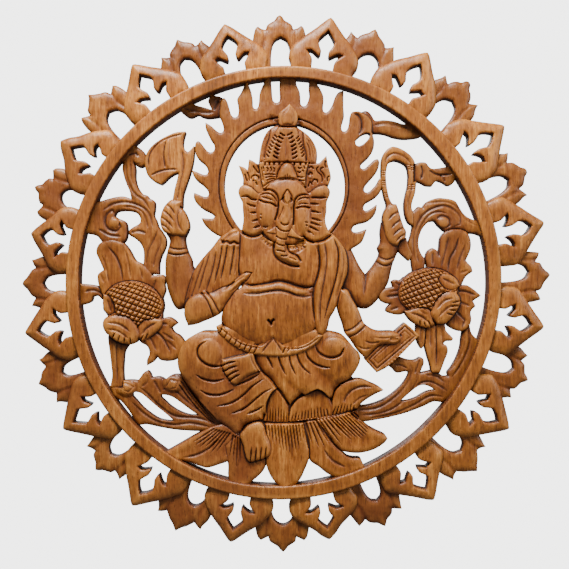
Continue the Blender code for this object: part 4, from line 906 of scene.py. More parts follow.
head.form([
    (-4.2, 27.6), (-6.4, 26.2), (-9.2, 24.9), (-6.8, 24.0), (-3.8, 23.8),
], TUSK_TOP, roll=1.4, width=1.0)
head.form([
    (3.6, 27.0), (2.2, 25.0), (1.6, 22.6), (4.6, 22.0), (8.0, 21.2), (9.8, 21.8), (7.2, 23.2), (5.2, 25.0),
], TUSK_TOP + 0.8, roll=1.4, width=1.0)
head.form([
    (-2.4, 40.0), (-2.7, 37.0), (-3.4, 33.4), (-4.5, 30.0), (-4.2, 26.0), (-4.0, 22.0), (-4.4, 18.0),
    (-4.6, 15.6), (-3.8, 13.2), (-1.6, 11.1), (1.0, 9.8), (4.0, 8.8), (6.0, 8.5), (7.3, 9.4), (7.1, 11.0),
    (5.6, 12.5), (3.4, 13.3), (2.0, 14.2), (1.0, 15.8), (0.6, 18.0), (0.9, 20.4), (1.8, 22.6), (2.6, 24.6),
    (3.6, 26.6), (4.3, 29.0), (4.5, 32.0), (4.4, 36.0), (4.6, 40.0), (1.0, 42.4),
], TRUNK_TOP - 0.8, roll=4.2, width=2.9, sharp=80)
strokes(head, (
    [(-4.0, 27.6), (-2.2, 25.8), (0.2, 25.0), (3.0, 25.4)],
    [(-4.0, 22.9), (-2.2, 21.5), (0.0, 21.1), (1.4, 21.5)],
    [(-4.0, 19.3), (-2.2, 18.3), (0.8, 18.0)], [(-4.0, 15.8), (-2.0, 15.5), (0.9, 14.9)],
    [(-1.6, 13.2), (0.4, 12.9), (2.2, 13.6)], [(2.4, 12.4), (4.6, 11.7), (6.2, 10.8)],
), 1.9, 0.6, (0.05, 0.15))
strokes(head, (
    [(-0.2, 37.4), (-1.4, 34.0), (-2.7, 31.4), (-2.6, 29.0)], [(3.4, 37.0), (3.6, 33.0), (3.2, 29.4)],
), 1.4, 0.6)
head.form([
    (0.7, 38.6), (0.4, 36.0), (-0.5, 33.2), (-1.8, 30.9), (-1.6, 29.2), (0.3, 28.2), (2.1, 29.1),
    (2.8, 31.6), (2.6, 34.0), (2.2, 36.6), (2.0, 38.8),
], TRUNK_TOP, roll=1.6, width=1.0)
strokes(head, ([(-2.0, 29.6), (-0.6, 28.2), (1.6, 28.3), (2.6, 29.6)],), 1.8, 0.6)
head.form([
    (1.5, 44.9), (0.5, 43.2), (-0.1, 41.6), (0.1, 40.2), (0.9, 39.0), (1.6, 38.0), (2.3, 39.2),
    (3.1, 40.2), (3.0, 41.8), (2.4, 43.4),
], BROW_MARK_TOP, roll=1.2, width=0.8)
strokes(head, (
    [(1.5, 45.6), (0.2, 43.6), (-0.7, 41.6), (-0.4, 39.8), (0.7, 38.4)],
    [(1.5, 45.6), (2.9, 43.6), (3.8, 41.6), (3.6, 39.8), (2.6, 38.6)],
), 2.0, 0.65, (0.05, 0.2))
head.worked(0.16, 2.2, 8)
finished(head, "head")


# The arms, the shawl and the body, with the axe, the noose and the book that the hands hold.
# They are cut from the same plank, the belly highest, and the air around them is sawn through.

FINE_CELL = 0.32
body = Relief((-71, -46), (88, 77), FINE_CELL)


def beads(relief, line, pitch, radius, rise):
    """A row of small round beads along a line."""
    line = curve(line, False, spacing=0.4)
    steps = np.hypot(*np.diff(line, axis=0).T)
    walked = np.concatenate([[0], np.cumsum(steps)])
    for stop in np.arange(pitch / 2, walked[-1], pitch):
        x = np.interp(stop, walked, line[:, 0])
        z = np.interp(stop, walked, line[:, 1])
        row = min(int(round((z - relief.z[0]) / relief.cell)), len(relief.z) - 1)
        column = min(int(round((x - relief.x[0]) / relief.cell)), len(relief.x) - 1)
        ground = relief.height[row, column]
        relief.dome((x, z), (radius, radius), ground + rise, ground - 0.6 * rise, blend=0.15)


def gaps(relief, cuts, bend, depth, width, ends):
    """The cuts between fingers or toes, each bent a little at its middle."""
    for start, end in cuts:
        middle = ((start[0] + end[0]) / 2 + bend[0], (start[1] + end[1]) / 2 + bend[1])
        relief.groove([start, middle, end], depth, width, ends)


ATTRIBUTE_TOP = 16.5
body.form([
    (-55.6, 37.0), (-55.0, 40.5), (-54.0, 46.0), (-52.8, 50.5), (-52.0, 54.0), (-54.0, 53.5),
    (-57.0, 51.5), (-59.0, 49.5), (-60.7, 48.2), (-64.0, 49.7), (-67.0, 52.5), (-68.3, 56.0),
    (-68.8, 60.0), (-67.6, 64.0), (-65.0, 67.5), (-61.0, 70.5), (-57.0, 72.6), (-53.0, 74.1),
    (-48.5, 74.4), (-49.5, 71.0), (-49.8, 67.2), (-48.5, 65.0), (-47.4, 64.3), (-46.0, 65.5),
    (-44.3, 67.6), (-44.5, 62.0), (-45.4, 57.0), (-46.8, 52.0), (-48.5, 47.0), (-49.7, 43.0),
    (-50.0, 37.0),
], ATTRIBUTE_TOP, roll=2.0, width=1.8)
body.groove([
    (-50.0, 73.2), (-57.0, 71.2), (-62.6, 68.0), (-66.4, 62.4), (-66.8, 57.0),
], 1.6, 0.7, (0.05, 0.1))
body.groove([(-65.6, 52.6), (-62.0, 54.4), (-57.0, 55.6), (-52.4, 55.6)], 1.5, 0.7, (0.1, 0.1))
body.groove([(-57.0, 70.4), (-57.6, 63.0), (-57.0, 56.4)], -1.2, 0.9, (0.1, 0.1))
body.groove([(-58.4, 70.2), (-59.2, 63.0), (-58.6, 56.4)], 1.3, 0.6, (0.1, 0.1))
body.groove([(-50.6, 66.0), (-49.4, 58.0), (-51.2, 49.0), (-52.6, 41.0)], 1.3, 0.9, (0.1, 0.05))

body.form([
    (50.0, 36.0), (50.3, 38.8), (49.3, 42.0), (48.3, 47.0), (47.8, 52.0), (47.8, 57.0), (48.2, 61.4),
    (50.0, 65.0), (53.0, 66.9), (56.2, 66.4), (60.0, 64.4), (63.0, 61.6), (64.8, 58.0), (65.2, 54.0),
    (65.0, 49.0), (64.4, 44.0), (63.1, 40.0), (62.7, 37.0), (63.6, 34.0), (63.6, 28.0), (61.4, 29.2),
    (60.0, 32.0), (59.3, 35.0), (59.2, 39.6), (60.0, 44.0), (60.9, 48.0), (61.1, 54.0), (60.0, 57.6),
    (57.0, 59.5), (54.0, 60.1), (51.4, 58.8), (50.4, 56.0), (50.1, 52.0), (50.7, 46.0), (52.0, 41.0),
    (53.8, 38.0), (55.0, 36.0),
], ATTRIBUTE_TOP, roll=1.9, width=1.5)
body.groove([
    (51.2, 40.0), (49.6, 47.0), (49.2, 54.0), (50.0, 60.5), (53.4, 63.4), (57.6, 62.6), (61.6, 59.4),
    (63.1, 54.0), (62.8, 47.0), (61.1, 39.6), (61.4, 32.6),
], 1.1, 0.8, (0.1, 0.1))
for x, z, lean in (
    (49.1, 54.0, 0.1), (50.0, 43.0, 0.3), (62.3, 47.0, 0.2), (62.6, 56.6, -0.4), (49.6, 49.0, 0.1),
):
    for shift in (-1.0, 0.0, 1.0):
        body.groove([(x - 2.2, z + shift - lean), (x + 2.2, z + shift + lean)], 1.0, 0.42)

body.form([
    (63.5, 58.6), (65.0, 58.9), (67.0, 59.5), (70.0, 59.3), (71.5, 57.4), (73.0, 56.4), (77.0, 56.7),
    (82.0, 57.4), (86.0, 55.5), (85.0, 51.5), (82.5, 48.2), (80.5, 48.0), (78.5, 49.3), (75.5, 50.4),
    (74.0, 49.2), (73.0, 47.6), (70.0, 47.9), (66.5, 49.6), (63.5, 49.4),
], SPRIG_TOP, roll=2.0, width=2.4)
body.groove([(67.6, 58.0), (68.4, 54.6), (67.4, 50.8)], 1.8, 0.9, (0.1, 0.2))
body.groove([(71.4, 55.6), (76.0, 53.2), (83.0, 53.6)], 1.8, 0.9, (0.1, 0.2))
body.groove([(76.8, 53.0), (78.8, 51.4), (79.4, 49.6)], 1.6, 0.8, (0.1, 0.2))

REAR_ARM_TOP = 16.2
HAND_TOP = 19.0
body.form([
    (-58.0, 30.0), (-58.6, 25.0), (-56.6, 21.0), (-57.2, 17.6), (-58.6, 12.0), (-58.8, 5.0), (-58.2, -1.0),
    (-56.6, -6.5), (-54.0, -12.0), (-51.5, -13.4), (-46.0, -10.5), (-40.0, 4.0), (-44.6, 7.5),
    (-45.6, 11.5), (-47.2, 15.0), (-48.2, 18.0), (-48.6, 22.0), (-47.0, 26.0), (-49.0, 31.0),
], REAR_ARM_TOP, roll=7.0, width=6.0)
body.form([
    (-50.0, 40.0), (-51.0, 37.4), (-49.2, 35.4), (-47.7, 32.4), (-46.8, 29.6), (-46.6, 27.0),
    (-47.4, 24.8), (-48.8, 23.0), (-52.0, 23.0), (-56.0, 23.6), (-59.2, 25.0), (-60.7, 28.0),
    (-61.1, 31.0), (-60.4, 34.5), (-59.0, 37.6), (-57.4, 39.4), (-55.6, 40.8), (-53.0, 40.6),
], HAND_TOP, roll=4.2, width=3.6)
gaps(body, (
    ((-58.2, 38.6), (-53.4, 33.2)), ((-60.0, 35.8), (-53.8, 29.6)), ((-61.0, 32.4), (-54.4, 26.6)),
    ((-60.8, 28.8), (-55.6, 24.4)),
), (0.3, 0.5), 1.5, 0.75, (0.0, 0.3))
body.groove([(-50.6, 37.6), (-52.4, 33.0), (-51.6, 28.0), (-49.4, 24.4)], 1.7, 1.1, (0.05, 0.3))
for rise, lean in ((17.6, -0.4), (14.8, 0.2)):
    body.groove([(-58.4, rise - lean), (-52.5, rise - 1.2), (-46.2, rise + lean)], 1.4, 0.6)
body.groove([(-58.0, 16.2), (-52.5, 15.0), (-46.6, 16.2)], -1.0, 1.2)
body.groove([(-53.6, 12.0), (-54.4, 2.0), (-52.0, -8.0)], 0.8, 2.0, (0.3, 0.3))

body.form([
    (22.0, 22.0), (23.5, 24.4), (26.0, 22.8), (29.0, 20.8), (33.0, 16.6), (35.5, 11.6), (38.0, 7.0),
    (40.2, 4.2), (43.6, 8.4), (46.0, 12.2), (46.8, 14.6), (46.0, 17.0), (47.4, 20.0), (47.3, 25.0),
    (48.0, 30.0), (55.5, 30.0), (59.6, 24.4), (58.9, 21.0), (57.0, 16.8), (55.4, 13.4), (53.6, 9.0),
    (52.4, 4.0), (51.4, 0.0), (49.0, -4.2), (46.0, -8.6), (43.0, -11.6), (40.0, -13.0), (36.0, -12.2),
    (33.0, -9.4), (26.0, -2.0),
], REAR_ARM_TOP, roll=7.0, width=6.0)
body.groove([(40.2, 5.6), (40.0, 0.0), (39.2, -6.0)], 2.2, 1.5, (0.0, 0.5))
body.form([
    (50.0, 36.8), (51.8, 38.6), (55.2, 38.6), (56.3, 35.6), (57.6, 31.0), (58.8, 27.6), (60.0, 25.0),
    (59.3, 21.2), (56.8, 18.2), (52.6, 18.6), (50.4, 21.6), (49.2, 26.0), (48.4, 30.0), (48.6, 33.4),
], HAND_TOP, roll=4.0, width=3.4)
gaps(body, (
    ((51.0, 30.6), (56.2, 34.8)), ((52.4, 26.4), (58.0, 31.0)), ((53.2, 22.8), (59.4, 27.4)),
    ((54.6, 19.6), (60.0, 24.0)),
), (-0.3, 0.5), 1.5, 0.75, (0.3, 0.0))
body.groove([(45.4, 13.6), (50.0, 11.4), (55.6, 13.0)], 1.4, 0.6)
body.groove([(44.8, 10.6), (49.4, 8.2), (54.6, 10.2)], 1.4, 0.6)
body.groove([(45.2, 12.2), (49.8, 9.8), (55.0, 11.6)], -1.0, 1.2)
NOOSE_TAIL_TOP = 14.0
body.form([
    (55.8, 16.6), (56.6, 20.4), (60.2, 22.2), (61.2, 19.0), (63.2, 14.0), (61.6, 10.6), (58.0, 13.8),
], NOOSE_TAIL_TOP, roll=1.6, width=1.6)

SHAWL_TOP = 19.6
body.form([
    (-19.0, 24.0), (-22.0, 25.8), (-24.5, 26.8), (-28.0, 25.0), (-31.7, 22.3), (-35.0, 18.0),
    (-39.0, 13.5), (-43.0, 8.6), (-45.2, 4.8), (-47.2, -1.0), (-49.0, -8.0), (-49.2, -15.0),
    (-47.6, -21.0), (-43.0, -20.2), (-38.0, -18.0), (-28.0, -12.0), (-22.0, -2.0), (-18.0, 8.0),
], SHAWL_TOP, roll=6.0, width=6.0, lean=(0.08, 0.0))
SHAWL_FOLDS = [
    ([
        (-31.4, 21.0), (-29.8, 19.6), (-28.2, 20.2), (-26.6, 19.2), (-24.6, 19.9), (-22.8, 19.0),
        (-20.0, 19.6),
    ], 3.0),
    ([(-30.4, 18.6), (-31.8, 9.6), (-34.4, -0.6)], 2.2), ([(-27.8, 18.6), (-29.2, 10.4), (-31.2, 1.4)], 2.4),
    ([(-24.4, 18.4), (-25.6, 10.0), (-26.8, 2.6)], 2.4), ([(-22.4, 18.0), (-23.4, 10.0), (-24.4, 4.0)], 1.6),
    ([(-33.4, 15.6), (-35.2, 6.0), (-38.6, -5.0)], 1.8), ([(-36.6, 14.6), (-39.2, 6.0), (-42.4, -5.4)], 1.8),
    ([(-39.4, 11.4), (-43.0, 1.0), (-46.2, -9.0)], 1.7), ([(-44.4, 3.4), (-46.6, -4.4), (-48.4, -12.0)], 1.2),
    ([(-22.4, 25.0), (-27.0, 23.2), (-31.4, 18.6)], 1.4),
]
for fold, depth in SHAWL_FOLDS:
    body.groove(fold, depth, 0.95, (0.12, 0.25))

TORSO_TOP = 18.6
CHEST_TOP = 20.4
body.form([
    (-22.0, 26.0), (-22.5, 12.0), (-22.6, 4.0), (-21.0, -2.0), (-25.0, -6.0), (-29.4, -12.0),
    (-31.0, -18.0), (-29.5, -24.0), (-24.0, -29.5), (-14.0, -33.0), (0.0, -34.0), (11.0, -31.5),
    (17.0, -26.0), (18.0, -14.0), (17.5, 0.0), (19.0, 10.0), (18.0, 22.0), (0.0, 27.0), (-14.0, 27.0),
], TORSO_TOP, roll=3.0, width=4.0)
body.dome((-6.4, -15.2), (25.0, 17.6), 25.4, 15.0, power=0.42)
body.form([
    (-20.2, 27.0), (-20.6, 14.0), (-21.2, 6.0), (-20.4, 0.4), (-16.6, -1.6), (-11.0, -1.0), (-6.0, 0.4),
    (-2.0, 0.8), (3.0, -0.4), (8.0, -2.2), (12.6, -2.4), (16.0, -1.0), (18.4, 6.0), (18.4, 14.0),
    (16.4, 25.0), (0.0, 27.0),
], CHEST_TOP, roll=3.2, width=3.0)
body.dome((-2.0, 8.0), (21.5, 12.6), 23.2, 17.0, power=0.8, blend=0.5)
body.groove([
    (-19.4, -1.2), (-13.0, -1.5), (-8.0, -0.3), (-3.0, 0.8), (2.0, 0.0), (6.0, -1.6), (10.0, -2.4),
    (15.0, -1.8),
], 2.2, 1.1, (0.12, 0.12))
body.groove([
    (-20.4, -5.2), (-13.0, -5.4), (-8.0, -4.4), (-3.0, -4.0), (2.0, -4.8), (6.0, -6.4), (10.0, -6.9),
    (14.5, -6.2),
], 1.7, 1.0, (0.12, 0.12))
body.groove([(-19.0, -3.2), (-8.0, -2.4), (-2.0, -1.6), (6.0, -4.0), (14.0, -4.0)], -1.6, 1.8, (0.15, 0.15))
body.groove([(-7.7, -18.5), (-7.0, -19.2), (-6.4, -20.3), (-6.1, -19.0), (-5.4, -18.3)], 4.4, 0.95)

BELT_TOP = 23.6
body.form([
    (-33.4, -21.4), (-30.6, -20.0), (-28.4, -22.6), (-25.0, -25.8), (-21.0, -28.2), (-16.0, -30.0),
    (-11.0, -30.4), (-7.4, -28.0), (-5.4, -25.6), (-3.4, -28.2), (0.0, -30.6), (5.0, -31.0), (10.0, -29.8),
    (14.0, -27.4), (16.6, -25.2), (19.0, -25.8), (16.0, -29.8), (11.0, -33.0), (6.0, -35.0), (0.0, -36.0),
    (-8.0, -35.9), (-15.0, -35.0), (-22.0, -32.4), (-28.0, -28.4), (-32.4, -24.0),
], BELT_TOP, roll=2.6, width=1.6)
body.groove([
    (-31.8, -21.8), (-28.0, -24.8), (-22.0, -29.4), (-16.0, -31.4), (-11.6, -32.0),
], 1.6, 0.6, (0.1, 0.1))
body.groove([(-0.4, -32.0), (5.0, -32.4), (11.0, -31.0), (17.4, -26.6)], 1.6, 0.6, (0.1, 0.1))
body.groove([
    (-11.2, -34.6), (-8.4, -30.8), (-5.4, -27.4), (-2.8, -30.8), (-0.6, -34.6),
], 1.8, 0.8, (0.2, 0.2))
for step in range(21):
    share = step / 20
    x = -30.6 + 47.4 * share
    z = -22.6 - 11.0 * math.sin(math.pi * min(1, share * 1.02)) ** 0.8
    if abs(x + 6.4) > 5.4:
        body.groove([(x - 0.8, z - 1.7), (x + 0.8, z + 1.7)], 2.4, 0.55)

body.form([
    (12.6, 20.6), (14.0, 21.2), (16.4, 21.6), (20.0, 22.6), (23.5, 24.6), (25.6, 22.5), (28.4, 19.0),
    (30.2, 15.6), (31.2, 11.0), (31.1, 5.0), (29.4, 0.0), (27.2, -6.0), (25.9, -11.0), (24.2, -14.6),
    (22.5, -17.4), (21.2, -22.5), (19.0, -26.0), (16.0, -25.4), (14.8, -20.0), (13.8, -12.0), (13.9, -6.0),
    (14.8, 0.0), (16.5, 4.0), (17.3, 9.0), (16.8, 14.0), (14.6, 18.4),
], SHAWL_TOP + 3.0, roll=4.6, width=3.4)
for fold, depth in (
    ([(19.6, 20.6), (20.8, 12.0), (20.2, 5.0), (18.8, -3.0), (17.8, -10.0), (17.6, -22.0)], 1.6),
    ([(24.2, 21.8), (26.5, 15.0), (25.9, 5.0), (23.6, -4.0), (21.4, -11.0), (19.6, -18.4)], 2.6),
    ([(16.2, 20.4), (17.4, 12.0), (16.8, 5.0), (15.0, -2.0), (14.2, -10.0), (15.0, -19.0)], 2.2),
    ([(28.0, 18.6), (29.2, 10.0), (27.8, 1.0), (25.2, -8.0)], 1.4),
):
    body.groove(fold, depth, 0.95, (0.08, 0.2))

ARM_TOP = 23.0
BOOK_TOP = 18.4
THUMB_TOP = 20.6
body.form([
    (-47.4, -21.2), (-49.2, -15.6), (-48.6, -10.6), (-46.0, -7.0), (-42.0, -5.2), (-38.0, -5.2),
    (-34.5, -4.0), (-31.0, -2.2), (-28.6, -1.4), (-26.5, -0.6), (-24.0, 1.9), (-21.0, 4.3), (-18.4, 5.6),
    (-15.4, 5.0), (-16.8, 2.4), (-18.6, 0.2), (-20.6, -0.7), (-24.0, -4.6), (-26.5, -8.2), (-29.4, -12.4),
    (-31.6, -15.2), (-35.0, -17.2), (-39.0, -18.8), (-43.0, -20.4),
], ARM_TOP, roll=6.5, width=5.6)
body.groove([(-40.4, -5.2), (-37.4, -9.4), (-34.6, -17.0)], 1.5, 0.65)
body.groove([(-38.0, -4.6), (-34.8, -8.8), (-31.6, -15.2)], 1.5, 0.65)
body.groove([(-39.2, -4.9), (-36.1, -9.1), (-33.0, -16.2)], -1.1, 1.2)
gaps(body, (
    ((-27.6, -3.0), (-19.4, 3.2)), ((-26.6, -5.0), (-18.6, 1.4)), ((-30.4, -4.4), (-24.0, 0.6)),
), (0.0, 0.3), 1.3, 0.65, (0.3, 0.05))

body.form([
    (59.3, -19.6), (62.6, -22.4), (66.4, -26.0), (62.4, -30.0), (58.0, -34.6), (54.0, -38.4),
    (50.0, -41.8), (45.4, -44.2), (42.6, -41.2), (39.4, -37.6), (46.0, -31.4), (53.0, -25.0),
], BOOK_TOP, roll=1.4, width=1.0)
body.groove([(59.3, -21.4), (64.4, -26.2), (45.6, -42.2), (41.6, -37.8)], 1.3, 0.6, closed=True, sharp=40)
body.groove([(59.2, -23.6), (62.0, -26.4), (46.0, -39.8), (43.8, -37.4)], 0.8, 0.5, closed=True, sharp=40)
beads(body, [(62.6, -29.6), (58.5, -33.6), (53.0, -38.8), (48.6, -42.0)], 1.8, 0.8, 1.1)
body.form([
    (27.4, -3.0), (26.2, -8.0), (26.0, -12.0), (27.0, -16.0), (28.5, -20.0), (29.8, -24.6), (31.0, -26.4),
    (33.0, -28.8), (36.4, -33.8), (40.0, -37.4), (42.2, -35.0), (44.0, -33.0), (47.0, -30.8),
    (51.0, -30.4), (55.0, -30.2), (57.4, -28.2), (57.0, -25.6), (54.0, -23.8), (50.0, -23.6),
    (46.6, -23.6), (43.6, -22.8), (39.2, -19.8), (38.2, -17.6), (36.2, -12.5), (33.4, -7.6), (31.0, -3.4),
], ARM_TOP - 0.4, roll=5.5, width=4.4)
body.groove([(29.2, -24.0), (33.4, -22.4), (38.4, -18.2)], 1.5, 0.6)
body.groove([(30.6, -27.0), (35.0, -25.2), (40.4, -20.6)], 1.5, 0.6)
body.groove([(29.9, -25.6), (34.2, -23.8), (39.4, -19.4)], -1.1, 1.2)
body.groove([(43.0, -26.6), (48.0, -27.2), (53.0, -26.8), (57.4, -26.0)], 1.2, 0.7, (0.3, 0.0))
body.groove([(39.0, -28.4), (42.6, -29.6), (47.0, -29.0)], 1.2, 0.7, (0.3, 0.2))
body.groove([(35.6, -31.0), (39.0, -32.4), (42.6, -32.0)], 1.2, 0.7, (0.3, 0.2))
body.form([
    (51.6, -27.0), (54.6, -26.8), (56.4, -27.6), (54.4, -28.8), (51.6, -28.6),
], THUMB_TOP, roll=0.8, width=0.8)

body.groove([
    (-22.4, 27.4), (-21.2, 25.6), (-18.6, 23.4), (-15.6, 22.6), (-12.4, 23.4), (-10.0, 25.4),
], 3.0, 1.2)
body.groove([(9.6, 22.6), (11.8, 20.6), (15.0, 19.9), (19.2, 20.8), (23.4, 23.6)], 4.2, 1.2)
NECKLACE_TOP = 16.6
NECKLACE_RISE = 1.1
body.form([
    (-11.0, 27.0), (-11.2, 23.6), (-9.6, 21.6), (-7.0, 20.2), (-3.8, 19.6), (0.8, 18.4), (4.0, 18.2),
    (7.4, 18.8), (10.0, 20.8), (10.6, 24.0), (8.0, 27.0),
], NECKLACE_TOP, roll=0.4, width=0.5)
for strand in (
    [(-11.4, 22.4), (-9.2, 19.8), (-7.4, 18.4), (-4.4, 17.2)],
    [(1.2, 17.2), (4.0, 16.9), (7.2, 17.6), (10.6, 20.2)],
    [(3.6, 14.6), (6.2, 15.2), (8.2, 16.4), (10.2, 18.2)],
):
    body.groove(strand, 1.8, 1.15, (0.1, 0.1))
    beads(body, strand, 1.7, 0.75, NECKLACE_RISE)
body.groove([
    (-4.7, 22.0), (-5.0, 17.6), (-5.1, 15.2), (-4.3, 12.8), (-1.9, 10.5), (1.0, 9.1), (4.2, 8.1),
    (7.0, 7.9),
], 3.0, 0.9)
body.groove([(1.6, 20.0), (1.6, 17.2), (2.3, 15.4), (3.8, 14.2), (6.2, 13.2), (8.0, 10.8)], 3.0, 0.8)
body.groove([(1.6, 21.4), (5.0, 20.6), (9.4, 21.4)], -1.8, 0.7)
body.groove([(2.0, 19.6), (5.2, 19.2), (8.8, 20.0)], -1.8, 0.6)
body.worked(0.26, 2.8, 5)
finished(body, "figure", 0.03)


# The legs on the lotus: both knees out, one foot drawn up on the shin, the other hanging on the petals.
# The draped cloth and the petals are cut from the same plank, the middle petal overlapping the ring.

CLOTH_TOP = 21.0
PETAL_TOP = 18.0
UNDER_CLOTH_TOP = 14.2
UNDER_PETALS_TOP = 15.0
UPPER_FOOT_TOP = 25.2
LOWER_FOOT_TOP = 23.6


def fan(relief, first, last, count, depth=2.0, width=0.55, swell=0.0):
    """A row of gouge cuts that turns from the first stroke to the last, the middle ones longer by swell."""
    (x0, z0), (x1, z1) = first
    (x2, z2), (x3, z3) = last
    draw = np.random.default_rng(count)
    for stop in range(count):
        share = stop / (count - 1)
        reach = draw.uniform(0.82, 1.08) + swell * math.sin(math.pi * share)
        x = x0 + (x2 - x0) * share
        z = z0 + (z2 - z0) * share
        far_x = x1 + (x3 - x1) * share
        far_z = z1 + (z3 - z1) * share
        relief.groove([(x, z), (x + (far_x - x) * reach, z + (far_z - z) * reach)], depth, width, (0.05, 0.6))


lotus = Relief((-60, -104), (54, -18), FINE_CELL)
lotus.form([
    (-12.0, -70.0), (-11.0, -56.0), (-4.0, -49.0), (10.0, -47.0), (20.0, -46.0), (30.0, -44.0),
    (34.6, -48.6), (34.6, -66.0), (0.0, -72.0),
], UNDER_CLOTH_TOP, roll=0.6, width=0.6)
lotus.form([
    (-32.0, -74.0), (-26.0, -66.0), (-10.0, -64.6), (4.0, -65.4), (14.0, -65.4), (26.0, -63.0),
    (35.6, -61.6), (37.0, -66.0), (30.0, -74.0), (16.0, -80.0), (0.0, -84.0), (-16.0, -82.0),
], UNDER_PETALS_TOP, roll=0.6, width=0.6)

lotus.form([
    (-24.0, -68.0), (-30.0, -69.3), (-35.0, -70.6), (-40.0, -73.0), (-45.0, -75.6), (-50.0, -78.5),
    (-54.0, -80.8), (-59.0, -83.6), (-54.0, -87.4), (-50.0, -87.6), (-46.0, -88.4), (-43.0, -89.6),
    (-38.0, -91.0), (-32.0, -89.4), (-27.0, -87.4), (-22.0, -82.0), (-20.0, -74.0),
], PETAL_TOP + 0.6, roll=3.2, width=2.8, dish=0.8)
lotus.groove([(-50.0, -86.0), (-43.0, -84.6), (-37.0, -81.4), (-32.4, -77.0)], 1.6, 1.0, (0.25, 0.1))
lotus.form([
    (-29.4, -80.0), (-28.4, -85.0), (-27.6, -90.0), (-27.6, -95.0), (-26.0, -99.0), (-20.0, -100.6),
    (-15.0, -97.0), (-10.0, -92.0), (-8.4, -87.0), (-8.0, -80.0), (-14.0, -74.0), (-22.0, -74.0),
], PETAL_TOP + 1.0, roll=3.4, width=2.8, dish=0.8)
lotus.form([
    (10.0, -66.0), (11.4, -74.0), (12.4, -80.0), (12.4, -87.0), (17.0, -90.6), (22.0, -94.4),
    (28.0, -96.0), (40.0, -91.6), (38.6, -88.6), (37.4, -86.5), (34.0, -86.2), (31.0, -85.4),
    (28.4, -83.0), (24.6, -79.6), (20.0, -74.0), (16.0, -67.0),
], PETAL_TOP, roll=3.2, width=2.8, dish=0.8)
lotus.groove([(30.0, -90.6), (24.0, -87.6), (19.4, -82.0)], 1.4, 1.0, (0.2, 0.2))
lotus.form([
    (14.0, -66.0), (19.0, -71.6), (22.0, -75.8), (25.0, -79.4), (28.0, -82.4), (32.0, -83.5),
    (37.0, -83.7), (42.0, -82.7), (46.0, -81.0), (49.5, -78.5), (50.9, -76.5), (49.5, -74.8),
    (46.0, -73.2), (42.0, -71.0), (38.0, -68.0), (34.0, -65.8), (32.0, -63.0), (24.0, -64.0),
], PETAL_TOP + 1.6, roll=3.6, width=3.0, dish=0.8)
lotus.form([
    (-9.6, -68.6), (-9.0, -74.0), (-8.6, -80.0), (-9.2, -86.0), (-8.4, -91.0), (-6.0, -96.0),
    (-3.0, -99.4), (0.6, -101.6), (4.6, -99.8), (8.0, -96.2), (10.0, -92.0), (12.0, -87.0), (12.3, -82.6),
    (11.2, -77.6), (9.4, -68.6),
], PETAL_TOP + 3.0, roll=3.8, width=3.0, dish=0.6, sharp=75)
fan(lotus, ((-34.0, -71.6), (-45.0, -78.6)), ((-26.4, -73.6), (-34.6, -85.0)), 7, 2.0, 0.7)
fan(lotus, ((-25.0, -74.6), (-27.0, -86.0)), ((-21.6, -76.0), (-21.8, -92.0)), 4, 2.0, 0.7)
fan(lotus, ((-7.6, -69.6), (-7.0, -77.0)), ((8.6, -69.4), (9.8, -78.0)), 12, 2.4, 0.62, 0.9)
fan(lotus, ((10.8, -68.6), (14.0, -80.0)), ((20.4, -66.6), (29.6, -77.6)), 7, 2.4, 0.66, 0.2)
fan(lotus, ((22.0, -66.2), (32.6, -77.0)), ((34.0, -63.8), (41.6, -70.6)), 9, 2.4, 0.66, 0.2)

lotus.form([
    (-30.0, -21.0), (-33.0, -23.4), (-36.0, -23.5), (-40.0, -23.7), (-45.0, -26.0), (-48.6, -28.6),
    (-51.0, -33.0), (-52.3, -38.0), (-52.0, -42.0), (-50.4, -46.0), (-47.0, -51.0), (-42.0, -57.0),
    (-36.0, -63.5), (-30.5, -69.5), (-27.0, -72.0), (-24.0, -74.8), (-21.2, -73.6), (-19.4, -70.2),
    (-15.0, -68.4), (-10.4, -67.4), (-9.6, -63.0), (-9.2, -58.4), (-6.6, -53.6), (-2.0, -49.0),
    (2.0, -40.0), (-4.0, -20.0),
], CLOTH_TOP, roll=6.0, width=4.6)
lotus.dome((-40.0, -37.0), (13.0, 14.0), 24.6, 15.0, -25, power=0.42)
lotus.dome((-29.0, -56.0), (15.0, 12.0), 22.6, 14.0, 40, power=0.45)
lotus.dome((-13.6, -52.0), (19.0, 9.0), 23.0, 15.0, -42, power=0.45)
lotus.form([
    (-14.6, -30.0), (-15.2, -34.6), (-14.0, -39.6), (-11.4, -43.6), (-7.0, -47.4), (-4.6, -50.4),
    (-1.6, -54.4), (1.0, -57.8), (2.8, -60.6), (4.2, -58.6), (6.8, -56.2), (10.0, -54.0), (13.4, -52.4),
    (16.4, -51.2), (19.0, -52.6), (21.6, -55.0), (23.3, -57.2), (24.8, -52.8), (28.0, -49.4),
    (32.0, -47.0), (35.4, -42.4), (37.4, -38.2), (37.0, -35.0), (34.0, -31.6), (31.0, -28.0),
    (28.0, -25.2), (22.0, -23.6), (12.0, -22.0), (-10.0, -20.0),
], CLOTH_TOP, roll=6.5, width=4.4)
lotus.dome((25.5, -38.4), (12.0, 11.4), 24.4, 15.0, 20, power=0.42)
lotus.dome((9.0, -46.4), (18.0, 7.4), 23.4, 17.0, -33, power=0.5)
lotus.dome((24.6, -31.4), (6.2, 5.0), 25.2, 21.0, power=0.7)
lotus.dome((-37.0, -34.2), (6.6, 7.0), 25.4, 22.0, power=0.7)
